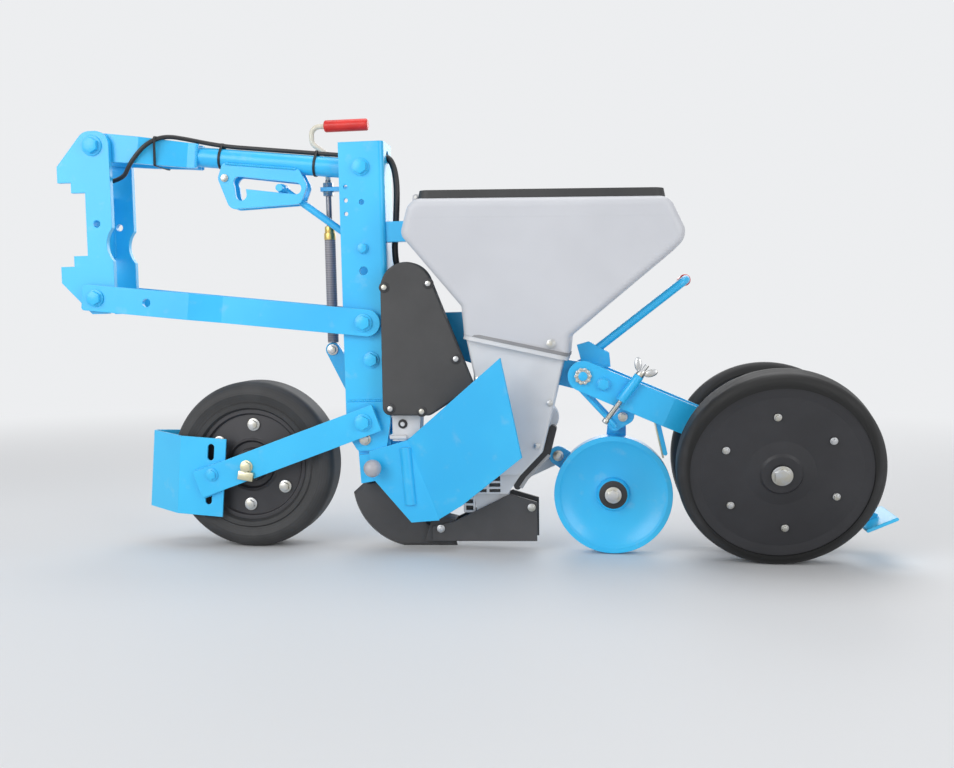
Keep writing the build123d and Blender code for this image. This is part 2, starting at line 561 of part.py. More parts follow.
# Clod deflector: one sheet folded round the front of the gauge wheel, bolted inside the fork's arms
PANEL_Y = ARM_IN - DEFLECTOR_SHEET / 2
deflector_route = (
    (DEFLECTOR_REAR_X, -PANEL_Y), (DEFLECTOR_FOLD_X, -PANEL_Y), (DEFLECTOR_NOSE_X, -5),
    (DEFLECTOR_NOSE_X, 5), (DEFLECTOR_FOLD_X, PANEL_Y), (DEFLECTOR_REAR_X, PANEL_Y))
sheet = plan_strip(deflector_route, DEFLECTOR_SHEET, 0, DEFLECTOR_HEIGHT)
for z in SLOT_HEIGHTS:
    slot = Pos(DEFLECTOR_REAR_X - SLOT_IN, z) * Rot(0, 0, 90) * SlotOverall(SLOT_LENGTH, SLOT_WIDTH)
    sheet -= slab(slot, -ARM_IN, ARM_IN)
parts["clod_deflector"] = Pos(DEFLECTOR_REAR_X, 0, DEFLECTOR_BOTTOM_Z) * Rot(0, DEFLECTOR_LEAN, 0) * Pos(
    -DEFLECTOR_REAR_X, 0, 0) * sheet

# Furrow opener: a curved share with a heel and two cheeks that keep the furrow open behind it
TOE_X, TOE_Z = -494.0, 112.0
SOLE_FRONT_X, SOLE_REAR_X = -397.0, -293.0
CHEEK_REAR_X = -138.0
share = make_face([
    Line((-467, 136), (TOE_X, TOE_Z)),
    ThreePointArc((TOE_X, TOE_Z), (-458, 41), (SOLE_FRONT_X, SHOE_BOTTOM_Z)),
    Polyline((SOLE_FRONT_X, SHOE_BOTTOM_Z), (SOLE_REAR_X, SHOE_BOTTOM_Z), (-297, SHOE_BOTTOM_Z + 16),
             (-345, SHOE_BOTTOM_Z + 50), (-385, 150), (-467, 136)),
])
half_shoe = extrude(Plane.XZ * share, amount=SHOE_HALF, taper=SHOE_TAPER)
shoe = half_shoe + mirror(half_shoe, Plane.XZ)
heel = outline((-352, SHOE_BOTTOM_Z + 12), (SOLE_REAR_X, SHOE_BOTTOM_Z + 12), (SOLE_REAR_X, 62), (-336, 72))
shoe += slab(heel, -HEEL_HALF, HEEL_HALF)
cheek_side = outline(
    (-336, SHOE_BOTTOM_Z + 14), (CHEEK_REAR_X, SHOE_BOTTOM_Z + 14), (CHEEK_REAR_X + 1, 96), (-187, 111),
    (SOLE_REAR_X, 60), (-336, 50))
for side in SIDES:
    shoe += slab(cheek_side, side * HEEL_HALF, side * (HEEL_HALF + CHEEK_THICK))
parts["shoe"] = shoe

# Stem: the block bolted between the gussets that carries the share and the side panels
stem_side = outline((-470, 190), (-467, 136), (-385, 150), (-352, 78), (-338, 84), (-352, 150), (-392, 196))
stem = slab(stem_side, -STEM_HALF, STEM_HALF)
neck_side = outline((-474, 226), (-470, 160), (-410, 160), (-410, 226), corner=6)
stem += slab(neck_side, -COLUMN_HALF, COLUMN_HALF)
stem -= shoe
parts["shoe_stem"] = stem

# Side panels: an upright sheet on the stem, folded out into a flared wing that sheds clods from the meter
FOLD_TOP = Vector(-375, 218)
FOLD_FOOT = Vector(-324, 83)
upright = outline(
    (-450, 197), (FOLD_TOP.X, FOLD_TOP.Y), (FOLD_FOOT.X, FOLD_FOOT.Y), (-319, 66), (-372, 62), (-413, 110), (-440, 142))
WING_CORNERS = ((FOLD_TOP.X, FOLD_TOP.Y), (-187, 372), (-154, 194), (-272, 98), (-319, 68))
fold_unit = (FOLD_FOOT - FOLD_TOP).normalized()
wing_unit = Vector(-fold_unit.Y, fold_unit.X)
flare = math.radians(PANEL_FLARE)
for side, name in zip(SIDES, ("near", "far")):
    panel = slab(upright, side * STEM_HALF, side * (STEM_HALF + PANEL_SHEET))
    bead = rod((-380, side * STEM_HALF, 204), (-372, side * STEM_HALF, 96), BEAD_R)
    bead = bead & slab(upright, side * STEM_HALF, side * (STEM_HALF + BEAD_R))
    corners = []
    for x, z in WING_CORNERS:
        step = Vector(x, z) - FOLD_TOP
        corners.append((step.dot(wing_unit) / math.cos(flare), step.dot(fold_unit)))
    out = Vector(wing_unit.X * math.cos(flare), side * math.sin(flare), wing_unit.Y * math.cos(flare))
    along = Vector(fold_unit.X, 0, fold_unit.Y)
    wing_plane = Plane(
        origin=(FOLD_TOP.X, side * (STEM_HALF + PANEL_SHEET / 2), FOLD_TOP.Y), x_dir=out, z_dir=out.cross(along))
    wing = extrude(wing_plane * outline(*corners), amount=PANEL_SHEET / 2, both=True)
    parts[f"side_panel_{name}"] = panel + bead + wing
KNOB_X, KNOB_Z = -439.0, 168.0
knob = Pos(KNOB_X, -STEM_HALF - PANEL_SHEET - KNOB_R - 5, KNOB_Z) * Sphere(KNOB_R)
knob += disc(KNOB_X, KNOB_Z, 7, -STEM_HALF - PANEL_SHEET, -STEM_HALF - PANEL_SHEET - KNOB_R)
parts["latch_knob"] = knob

# Rear beam: a flat box from the column past the meter to the closing arms' pivot tube
under_seam = FLANGE_THICK + 2
beam_side = outline(
    (COLUMN_REAR_X, BEAM_TOP_Z), (SEAM_FRONT_X - 14, BEAM_TOP_Z), (SEAM_FRONT_X - 8, SEAM_FRONT_Z - under_seam),
    (SEAM_REAR_X, SEAM_REAR_Z - under_seam), (PIVOT_X + 22, PIVOT_Z + 20), (PIVOT_X + 22, PIVOT_Z - 26),
    (PIVOT_X - 22, PIVOT_Z - 26), (SEAM_FRONT_X, SEAM_FRONT_Z - under_seam - BEAM_HEIGHT),
    (COLUMN_REAR_X, BEAM_TOP_Z - BEAM_HEIGHT))
beam = slab(beam_side, METER_FAR, METER_FAR + BEAM_THICK)
beam += disc(PIVOT_X, PIVOT_Z, PIVOT_TUBE_R, -CLOSING_ARM_IN, CLOSING_ARM_IN)
beam -= disc(PIVOT_X, PIVOT_Z, PIN_R, -CLOSING_ARM_IN, CLOSING_ARM_IN)
parts["rear_beam"] = beam

# Hopper: a moulded tub with flat sides that lean in to the meter's width, its ends drawn in to a sloping neck
seam_run = Vector(SEAM_REAR_X - SEAM_FRONT_X, SEAM_REAR_Z - SEAM_FRONT_Z)
seam_length = seam_run.length
seam_tilt = -math.degrees(math.atan2(seam_run.Y, seam_run.X))
SEAM_MID_Z = (SEAM_FRONT_Z + SEAM_REAR_Z) / 2
seam_place = Pos((SEAM_FRONT_X + SEAM_REAR_X) / 2, 0, SEAM_MID_Z) * Rot(0, seam_tilt, 0)
rim_place = Pos((RIM_FRONT_X + RIM_REAR_X) / 2, 0, HOPPER_RIM_Z) * Rot(0, RIM_TILT, 0)
RIM_HALF = (RIM_REAR_X - RIM_FRONT_X) / 2
rim_ends = [(rim_place * Pos(side * RIM_HALF, 0, 0)).position for side in SIDES]
TUB_SIDE = (  # x, z and corner radius in side view, from the rim's front end down past the seam and back up
    (rim_ends[0].X, rim_ends[0].Z, SHOULDER_R), (WAIST_FRONT_X, WAIST_FRONT_Z, WAIST_FRONT_R),
    (SEAM_FRONT_X - 2.5, SEAM_FRONT_Z + NECK_FRONT_HEIGHT, NECK_ROOT_R),
    (SEAM_FRONT_X + 3, SEAM_FRONT_Z - 60, NECK_CORNER_R), (SEAM_REAR_X - 6, SEAM_REAR_Z - 60, NECK_CORNER_R),
    (SEAM_REAR_X + 6, SEAM_REAR_Z + NECK_REAR_HEIGHT, NECK_ROOT_R),
    (WAIST_REAR_X, WAIST_REAR_Z, WAIST_REAR_R), (rim_ends[1].X, rim_ends[1].Z, SHOULDER_R))
flank_slope = (HOPPER_HALF - NECK_HALF) / (HOPPER_RIM_Z - SEAM_MID_Z)


def tub(wall):
    """The tub's body, drawn in from its outside by a wall."""
    corners = [(x, z) for x, z, radius in TUB_SIDE]
    side = make_face(FilletPolyline(*corners, radius=[radius for x, z, radius in TUB_SIDE], close=True))
    body = slab(offset(side, amount=-wall) if wall else side, -2 * HOPPER_HALF, 2 * HOPPER_HALF)
    low, high = SEAM_REAR_Z - 120, HOPPER_RIM_Z + 60
    flanks = [(edge * (NECK_HALF - wall + flank_slope * (z - SEAM_MID_Z)), z)
              for edge, z in ((-1, low), (1, low), (1, high), (-1, high))]
    body = body & extrude(Plane.YZ * make_face(Polyline(*flanks, close=True)), amount=1000, both=True)
    sides = body.faces().sort_by(Axis.Y)
    body = fillet(sides[0].edges() + sides[-1].edges(), HOPPER_EDGE_R - wall)
    return body - seam_place * extrude(Rectangle(1000, 1000), amount=-300)


MOUTH_HALF = HOPPER_HALF - MOUTH_INSET
mouth = rim_place * Pos(0, 0, -3 * HOPPER_WALL) * extrude(
    RectangleRounded(2 * (RIM_HALF - MOUTH_INSET), 2 * MOUTH_HALF, MOUTH_CORNER_R), amount=4 * HOPPER_WALL)
tub_outside = tub(0)
tub_inside = tub(HOPPER_WALL)
hopper = tub_outside - tub_inside - mouth
LID_LENGTH = 2 * RIM_HALF - LID_FRONT_IN - LID_REAR_IN
LID_MID = (LID_FRONT_IN - LID_REAR_IN) / 2
HINGE_AHEAD = LID_LENGTH / 2 - LID_MID + HINGE_R + 1
HINGE_RISE = HINGE_R + LID_GAP
hinge_at = (rim_place * Pos(-HINGE_AHEAD, 0, HINGE_RISE)).position
ear = hull((-HINGE_AHEAD, HINGE_RISE, HINGE_R), (-HINGE_AHEAD - 3, -18, 4), (-HINGE_AHEAD + 2, -12, 4))
for side in SIDES:
    hopper += rim_place * slab(ear, side * EAR_IN, side * (EAR_IN + EAR_THICK)) - tub_inside
EAR_OUT = EAR_IN + EAR_THICK + 2
hopper -= disc(hinge_at.X, hinge_at.Z, HINGE_PIN_R, -EAR_OUT, EAR_OUT)
parts["hopper"] = hopper
parts["hinge_pin"] = disc(hinge_at.X, hinge_at.Z, HINGE_PIN_R, -EAR_OUT, EAR_OUT)
lid_plan = RectangleRounded(LID_LENGTH, 2 * LID_HALF, LID_CORNER_R)
panel_plan = RectangleRounded(LID_LENGTH - 2 * LID_BORDER, 2 * (LID_HALF - LID_BORDER), LID_CORNER_R - 6)
lid = Pos(LID_MID, 0, LID_GAP) * extrude(lid_plan, amount=LID_THICK, taper=12)
lid -= Pos(LID_MID, 0, LID_GAP + LID_THICK - LID_RECESS) * extrude(panel_plan, amount=LID_RECESS)
barrel = hull((-HINGE_AHEAD, HINGE_RISE, HINGE_R), (LID_MID - LID_LENGTH / 2 + 8, HINGE_RISE + 1, HINGE_R - 1))
lid += slab(barrel, 1 - EAR_IN, EAR_IN - 1)
lid -= disc(-HINGE_AHEAD, HINGE_RISE, HINGE_PIN_R + PIN_PLAY, -EAR_IN, EAR_IN)
parts["hopper_lid"] = rim_place * lid
support = Pos((COLUMN_REAR_X + RIM_FRONT_X) / 2, SUPPORT_Z) * Rectangle(RIM_FRONT_X - COLUMN_REAR_X, SUPPORT_HEIGHT)
parts["hopper_support"] = slab(support, -COLUMN_HALF + COLUMN_FOLD_R, -SUPPORT_IN) - tub_outside

# Seed meter: a cast housing under the hopper's seam, its suction cover with a hose spigot, and the seed chute
meter_side = outline(
    (SEAM_FRONT_X + 1, SEAM_FRONT_Z), (SEAM_REAR_X - 6, SEAM_REAR_Z + 1), (-111, 238), (-123, 193), (-165, METER_FOOT_Z),
    (-256, METER_FOOT_Z), (-247, 340))
meter = slab(meter_side, -METER_NEAR, METER_FAR)
meter = fillet(meter.faces().sort_by(Axis.Y)[0].edges(), METER_EDGE_R)
flange = RectangleRounded(seam_length + 2, 2 * (NECK_HALF + 2), NECK_CORNER_R)
flange = seam_place * extrude(flange, amount=-FLANGE_THICK)
meter = meter - seam_place * Pos(0, 0, -FLANGE_THICK) * extrude(Rectangle(400, 400), amount=100) + flange
parts["meter_housing"] = meter
cover = hull((COVER_X, COVER_Z, COVER_R), (SPIGOT_X, SPIGOT_Z, SPIGOT_R + SPIGOT_RING))
suction = slab(cover, METER_FAR, METER_FAR + COVER_DEPTH)
suction = fillet(suction.faces().sort_by(Axis.Y)[-1].edges(), 6)
suction += disc(SPIGOT_X, SPIGOT_Z, SPIGOT_R, METER_FAR + COVER_DEPTH, METER_FAR + COVER_DEPTH + SPIGOT_LENGTH)
suction -= disc(SPIGOT_X, SPIGOT_Z, SPIGOT_R - SPIGOT_WALL, METER_FAR + COVER_DEPTH - 12,
                METER_FAR + COVER_DEPTH + SPIGOT_LENGTH)
parts["suction_cover"] = suction
RIB_POCKETS = (  # x from, x to, z from, z to
    (-252, -230, 138, 147), (-252, -230, 127, 134), (-252, -230, 117, 123), (-225, -204, 138, 147),
    (-225, -204, 127, 134), (-225, -204, 117, 123))
chute_head = outline((-256, METER_FOOT_Z), (-165, METER_FOOT_Z), (-190, 114), (-256, 114))
chute = slab(chute_head, -METER_NEAR + 18, METER_FAR + LUG_REACH)
for x0, x1, z0, z1 in RIB_POCKETS:
    pocket = Pos((x0 + x1) / 2, (z0 + z1) / 2) * Rectangle(x1 - x0, z1 - z0)
    chute -= slab(pocket, -METER_NEAR + 18, -METER_NEAR + 18 + RIB_DEPTH)
chute += slab(outline((-256, 114), (-190, 114), (-205, 62), (-250, 62)), -CHUTE_HALF, CHUTE_HALF)
lug = hull((-188, 132, 15), (-172, 142, 15)) + hull((-172, 142, 15), (LUG_X, LUG_Z, 15))
chute += slab(lug, METER_FAR + LUG_REACH, METER_FAR + LUG_REACH + 6)
parts["seed_chute"] = chute
duct_knots = ((-104.9, 233), (-116.6, 189.2), (-160, 145), (-172.6, 126.5))
duct = [hull((*start, 7), (*end, 7)) for start, end in zip(duct_knots, duct_knots[1:])]
parts["seed_duct"] = slab(duct[0] + duct[1:], -30, -8)

# Chain guard: a moulded cover over the drive chain, with the grey drive casting below it
guard_side = hull((-367, 501, 48), (-262, 322, 14), (-332, 279, 14), (-402, 281, 15))
guard = slab(guard_side, -GUARD_IN - GUARD_DEPTH, -GUARD_IN)
guard = fillet(guard.faces().sort_by(Axis.Y)[0].edges(), 4)
parts["chain_guard"] = guard
drive = outline((-404, 264), (-350, 264), (-352, 232), (-382, 216), (-404, 216))
parts["drive_casting"] = slab(drive, -STEM_HALF + GUARD_GAP, -12)

# Closing arms: two flat bars from the pivot tube back to the cambered stub axles, tied by a cross tube
camber = math.radians(CAMBER)
STUB_IN = CLOSING_ARM_IN - CLOSING_STEP_IN
ARM_END_Z = CLOSING_Z + (CLOSING_Y - STUB_IN - CLOSING_ARM_THICK / 2) * math.tan(camber)
closing_run = Vector(CLOSING_X - PIVOT_X, ARM_END_Z - PIVOT_Z)
closing_unit = closing_run.normalized()
closing_place = Pos(PIVOT_X, 0, PIVOT_Z) * Rot(0, math.degrees(math.atan2(-closing_run.Y, closing_run.X)), 0)
closing_side = hull((0, 0, CLOSING_ARM_HEIGHT / 2), (closing_run.length, 0, CLOSING_ARM_HEIGHT / 2))
closing_side -= Circle(PIN_R)
TIE_AT = 285.0
TIE_R = 15.0
tie_at = Vector(PIVOT_X, PIVOT_Z) + closing_unit * TIE_AT
arms = disc(tie_at.X, tie_at.Y, TIE_R, -STUB_IN, STUB_IN)
for side in SIDES:
    front_y = side * (CLOSING_ARM_IN + CLOSING_ARM_THICK / 2)
    rear_y = side * (STUB_IN + CLOSING_ARM_THICK / 2)
    route = ((-CLOSING_ARM_HEIGHT, front_y), (CLOSING_BEND_START, front_y), (CLOSING_BEND_END, rear_y),
             (closing_run.length + CLOSING_ARM_HEIGHT, rear_y))
    arm = plan_strip(route, CLOSING_ARM_THICK, -CLOSING_ARM_HEIGHT / 2, CLOSING_ARM_HEIGHT / 2)
    arms += closing_place * (arm & slab(closing_side, -CLOSING_Y, CLOSING_Y))
stubs = []
for side in SIDES:
    inner = Vector(CLOSING_X, side * STUB_IN, CLOSING_Z + (CLOSING_Y - STUB_IN) * math.tan(camber))
    outer = Vector(0, side * math.cos(camber), -math.sin(camber))
    centre = Vector(CLOSING_X, side * CLOSING_Y, CLOSING_Z)
    stub = rod(inner - outer * 4, centre + outer * 34, STUB_R)
    stub += rod(centre + outer * 34, centre + outer * 43, HEAD_R)
    stub += rod(centre - outer * 30, centre - outer * 24, STUB_R + 8)
    stubs.append(stub)
arms -= stubs
parts["closing_arms"] = arms
parts["closing_stubs"] = stubs[0] + stubs[1]
parts["closing_pivot_bolt"] = bolt(PIVOT_X, PIVOT_Z, PIN_R, CLOSING_ARM_IN + CLOSING_ARM_THICK)

# Closing wheels: a smooth rubber tyre on a flat plastic disc, leaning out at the top
HALF_C = CLOSING_WIDTH / 2
SHOULDER = CLOSING_SHOULDER_R
chord = SHOULDER * (1 - math.sqrt(0.5))
closing_tyre = make_face([
    Line((CLOSING_DISC_R, -HALF_C), (CLOSING_R - SHOULDER, -HALF_C)),
    ThreePointArc((CLOSING_R - SHOULDER, -HALF_C), (CLOSING_R - chord, -HALF_C + chord), (CLOSING_R, -HALF_C + SHOULDER)),
    Line((CLOSING_R, -HALF_C + SHOULDER), (CLOSING_R, HALF_C - SHOULDER)),
    ThreePointArc((CLOSING_R, HALF_C - SHOULDER), (CLOSING_R - chord, HALF_C - chord), (CLOSING_R - SHOULDER, HALF_C)),
    Line((CLOSING_R - SHOULDER, HALF_C), (CLOSING_DISC_R, HALF_C)),
    Line((CLOSING_DISC_R, HALF_C), (CLOSING_DISC_R, -HALF_C)),
])
BORE = STUB_R + PIN_PLAY
DISC_EDGE_R = CLOSING_DISC_R - 18
closing_disc = outline(
    (BORE, -HALF_C - 2), (34, -HALF_C - 2), (38, -HALF_C + 2), (60, -HALF_C + 6), (DISC_EDGE_R, -HALF_C + 6),
    (CLOSING_DISC_R, -HALF_C + 3), (CLOSING_DISC_R, HALF_C - 6), (DISC_EDGE_R, HALF_C - 14), (60, HALF_C - 22),
    (44, HALF_C - 8), (BORE, HALF_C - 7))
for side, name in zip(SIDES, ("near", "far")):
    place = Pos(CLOSING_X, side * CLOSING_Y, CLOSING_Z) * Rot(-side * CAMBER, 0, 0)
    flip = Rot(0, 0, 180) if side > 0 else Rot(0, 0, 0)
    parts[f"closing_tyre_{name}"] = place * flip * revolve(closing_tyre, Axis.Y)
    parts[f"closing_disc_{name}"] = place * flip * revolve(closing_disc, Axis.Y)

# Closing scraper: a flat bar from the cross tube between the wheels, with a blade behind their treads
BLADE_X, BLADE_Z = (BLADE_FRONT_X + BLADE_REAR_X) / 2, (BLADE_FRONT_Z + BLADE_REAR_Z) / 2
scraper_line = Vector(BLADE_X - tie_at.X, BLADE_Z - tie_at.Y)
scraper_unit = scraper_line.normalized()
bar_start = tie_at + scraper_unit * TIE_R
bar_normal = Vector(-scraper_unit.Y, scraper_unit.X) * 10
scraper_bar = outline(*[(p.X, p.Y) for p in (
    bar_start + bar_normal, Vector(BLADE_X, BLADE_Z) + bar_normal, Vector(BLADE_X, BLADE_Z) - bar_normal,
    bar_start - bar_normal)])
scraper = slab(scraper_bar, -5, 5) - disc(tie_at.X, tie_at.Y, TIE_R, -STUB_IN, STUB_IN)
blade = hull((BLADE_FRONT_X, BLADE_FRONT_Z, BLADE_THICK / 2), (BLADE_REAR_X, BLADE_REAR_Z, BLADE_THICK / 2))
scraper += slab(blade, -BLADE_HALF, BLADE_HALF)
parts["closing_scraper"] = scraper

# Seed press wheel: a dished steel wheel on a leg hung from the closing arms' pivot
HALF_P = PRESS_WIDTH / 2
DISH_R = PRESS_R - 13
half_face = [  # radius and depth from the wheel's middle, hub to tread
    (PRESS_AXLE_R + PIN_PLAY, HALF_P - 3), (PRESS_HUB_R - 3, HALF_P - 3), (PRESS_HUB_R, HALF_P - 6), (PRESS_HUB_R + 2, 7)]
press_faces = []
for side in SIDES:
    press_faces += [
        Polyline(*[(radius, side * depth) for radius, depth in half_face]),
        ThreePointArc((PRESS_HUB_R + 2, side * 7), (DISH_R - 38, side * 5), (DISH_R, side * (HALF_P - 3))),
        Polyline((DISH_R, side * (HALF_P - 3)), (DISH_R + 4, side * HALF_P), (PRESS_R, side * HALF_P))]
press_face = make_face(press_faces + [
    Line((PRESS_R, -HALF_P), (PRESS_R, HALF_P)), Line((half_face[0][0], -HALF_P + 3), (half_face[0][0], HALF_P - 3))])
parts["press_wheel"] = Pos(PRESS_X, 0, PRESS_Z) * revolve(press_face, Axis.Y)
leg_side = hull((PRESS_X, PRESS_Z, 24), (14, 240, 17)) + hull((14, 240, 17), (30, 256, 17))
leg_side -= Pos(PRESS_X, PRESS_Z) * Circle(PRESS_AXLE_R)
arm_route = hull((PRESS_X, PRESS_Z, 22), (LUG_X, LUG_Z, 18)) - Pos(PRESS_X, PRESS_Z) * Circle(PRESS_AXLE_R)
leg = slab(leg_side + arm_route, LEG_IN, LEG_IN + LEG_THICK)
block_side = hull((10, 240, 12), (30, 256, 16))
leg += slab(block_side, -LEG_IN, LEG_IN)
parts["press_leg"] = leg
press_axle = disc(PRESS_X, PRESS_Z, PRESS_AXLE_R, -HALF_P - 2, LEG_IN + LEG_THICK)
press_axle += disc(PRESS_X, PRESS_Z, HEAD_R, -HALF_P - 10, -HALF_P - 0.6)
press_axle += disc(PRESS_X, PRESS_Z, HEAD_R, HALF_P - 0.6, LEG_IN)
press_axle += disc(PRESS_X, PRESS_Z, HEAD_R, LEG_IN + LEG_THICK, LEG_IN + LEG_THICK + HEAD_THICK)
parts["press_axle"] = press_axle
ROD_Y = 35.0
pull_rods = []
for side in SIDES:
    pull = rod((PIVOT_X - 6, side * ROD_Y, PIVOT_Z - PIVOT_TUBE_R), (12, side * ROD_Y, 236), 4.5)
    pull_rods.append(pull - disc(PIVOT_X, PIVOT_Z, PIVOT_TUBE_R, -60, 60) - leg)
parts["press_rods"] = pull_rods[0] + pull_rods[1]
strip = hull((82, 276, 4), (102, 184, 4)) + hull((82, 276, 4), (40, 258, 4))
parts["press_scraper"] = slab(strip, -18, 18) - leg

# Pressure lever and adjuster of the closing arms
lever_route = (
    (-24, LEVER_Y, 377), (LEVER_END_X, LEVER_Y, LEVER_END_Z), (LEVER_END_X, LEVER_Y + LEVER_TURN, LEVER_END_Z))
lever = pipe(lever_route, LEVER_R, (18,))
quadrant = outline((-58, 388), (-36, 394), (2, 372), (4, 346), (-46, 340))
plates = [slab(quadrant, y, y + 6) for y in (LEVER_Y - LEVER_R - 6, LEVER_Y + LEVER_R)]
quadrant_plates = plates[0] + plates[1] - disc(PIVOT_X, PIVOT_Z, PIVOT_TUBE_R, -60, 60) - beam
parts["lever_quadrant"] = quadrant_plates
parts["pressure_lever"] = lever
grip = rod(lever_route[-1], Vector(*lever_route[-1]) + Vector(0, LEVER_GRIP_LENGTH, 0), LEVER_GRIP_R)
parts["lever_grip"] = fillet(grip.edges(), 4)
ADJUSTER_Y = -(CLOSING_ARM_IN + CLOSING_ARM_THICK + ADJUSTER_R)
adjuster = rod((24, ADJUSTER_Y, 290), (62, ADJUSTER_Y, 340), ADJUSTER_R)
adjuster += rod((-9, ADJUSTER_Y, 246.6), (24, ADJUSTER_Y, 290), ADJUSTER_ROD_R)
adjuster += rod((62, ADJUSTER_Y, 340), (72, ADJUSTER_Y, 353.2), 12)
parts["pressure_adjuster"] = adjuster

# Signal lead: tied along the upper link, and again behind the column down to the meter
lead_knots = (  # from the link's front pin, across, above the link's middle, bend
    (14, -14, -64, 0), (58, -33, -55, 14), (74, -FORK_HALF - 6, -30, 22), (86, -FORK_HALF - 6, -10, 50),
    (101, -FORK_HALF - 6, 8, 40), (118, -FORK_HALF + 1, 23, 24), (140, -30, 32, 20), (170, -15, 31, 40),
    (208, -6, TUBE_R + CABLE_R + 3, 60), (250, LEAD_Y, TUBE_R + CABLE_R + 0.3, 200),
    (LINK_LENGTH - 18, LEAD_Y, TUBE_R + CABLE_R + 0.3, 0))
lead_points = [(ahead - LINK_LENGTH, across, above) for ahead, across, above, bend in lead_knots]
lead = pipe(lead_points, CABLE_R, [bend for ahead, across, above, bend in lead_knots[1:-1]])
lead_back = (Vector(*lead_points[0]) - Vector(*lead_points[1])).normalized() * PLUG_LENGTH
lead += rod(lead_points[0], Vector(*lead_points[0]) + lead_back, PLUG_R - 1)
parts["lead_on_link"] = upper_place * lead
PLUG_X, PLUG_Y = -384.0, 20.0
row_knots = (  # x, y, z, bend
    (-430, 0, CABLE_HOLE_Z + 7, 0), (SHEATH_X, 0, CABLE_HOLE_Z + 2, 12), (SHEATH_X, SHEATH_Y, 660, 120),
    (SHEATH_X, SHEATH_Y, 560, 80), (PLUG_X, PLUG_Y, 510, 60), (PLUG_X, PLUG_Y, BEAM_TOP_Z + PLUG_LENGTH, 0))
parts["lead_on_row"] = pipe([knot[:3] for knot in row_knots], SHEATH_R, [knot[3] for knot in row_knots[1:-1]])
parts["lead_plug"] = rod((PLUG_X, PLUG_Y, BEAM_TOP_Z), (PLUG_X, PLUG_Y, BEAM_TOP_Z + PLUG_LENGTH), PLUG_R)

FRONT_CONTACT = GAUGE_R
REAR_CONTACT = ((CLOSING_R - SHOULDER) * math.cos(camber)
                + (HALF_C - SHOULDER) * math.sin(camber) + SHOULDER)


def stance():
    """The pitch that stands the gauge wheel and the closing wheels on one floor, and the floor's height."""
    run, rise = CLOSING_X - AXLE_X, AXLE_Z - CLOSING_Z
    pitch = math.asin((FRONT_CONTACT - REAR_CONTACT) / math.hypot(run, rise)) - math.atan2(rise, run)
    floor = -AXLE_X * math.sin(pitch) + AXLE_Z * math.cos(pitch) - FRONT_CONTACT
    return math.degrees(pitch), floor


PITCH, FLOOR_Z = stance()
standing = {name: Pos(0, 0, -FLOOR_Z) * Rot(0, PITCH, 0) * shape for name, shape in parts.items()}
box = Compound(children=[Compound(shape.solids()) for shape in standing.values()]).bounding_box()
PLACE = Pos(-(box.min.X + box.max.X) / 2, 0, -FLOOR_Z) * Rot(0, PITCH, 0)

os.makedirs("parts", exist_ok=True)
for name, shape in parts.items():
    placed = PLACE * shape
    export_step(placed, f"parts/{name}.step")
print(f"pitch {PITCH:.3f} floor {FLOOR_Z:.2f} box {box.size}")
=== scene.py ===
import json
import math

import bmesh
import bpy
from mathutils import Matrix, Vector


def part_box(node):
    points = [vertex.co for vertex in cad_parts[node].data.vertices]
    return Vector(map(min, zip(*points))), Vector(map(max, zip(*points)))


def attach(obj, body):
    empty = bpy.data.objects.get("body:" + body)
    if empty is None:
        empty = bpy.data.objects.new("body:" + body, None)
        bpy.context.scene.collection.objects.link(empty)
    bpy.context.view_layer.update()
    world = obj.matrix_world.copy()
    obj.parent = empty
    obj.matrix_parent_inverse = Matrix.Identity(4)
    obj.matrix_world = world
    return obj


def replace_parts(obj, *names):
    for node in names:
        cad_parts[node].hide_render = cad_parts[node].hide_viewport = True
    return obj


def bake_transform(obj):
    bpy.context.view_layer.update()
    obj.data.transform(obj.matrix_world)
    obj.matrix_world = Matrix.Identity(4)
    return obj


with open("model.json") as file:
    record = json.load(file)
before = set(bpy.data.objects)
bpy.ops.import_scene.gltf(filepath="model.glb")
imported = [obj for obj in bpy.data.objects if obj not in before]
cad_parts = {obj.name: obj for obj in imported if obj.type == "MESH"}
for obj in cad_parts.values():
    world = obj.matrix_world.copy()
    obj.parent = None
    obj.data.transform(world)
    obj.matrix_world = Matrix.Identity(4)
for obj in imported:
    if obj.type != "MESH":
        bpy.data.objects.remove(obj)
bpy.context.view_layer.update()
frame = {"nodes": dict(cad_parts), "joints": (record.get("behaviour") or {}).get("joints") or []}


# Toolbar bracket: two flame-cut steel cheeks with a seat plate welded between them at the back of the notch,
# all sprayed azure. Long hex bolts go through the cheeks and carry the two links. The unit stands a degree or
# so nose-down, so its own upright frame is found from the two pins of the column, one above the other.
pins = {joint["name"]: Vector(joint["pos_m"]) for joint in frame["joints"]}
up = (pins["row_lift"] - pins["lower_link_turn"]).normalized()
upright = Matrix((Vector((0, 1, 0)).cross(up), (0, 1, 0), up)).transposed().to_4x4()
REAR_PIN_X, UPPER_PIN_Z, LOWER_PIN_Z = -0.452, 0.729, 0.439
upright.translation = pins["lower_link_turn"] - upright.to_3x3() @ Vector((REAR_PIN_X, 0, LOWER_PIN_Z))
NEAR, FAR, SIDES = (0, -1, 0), (0, 1, 0), (-1, 1)


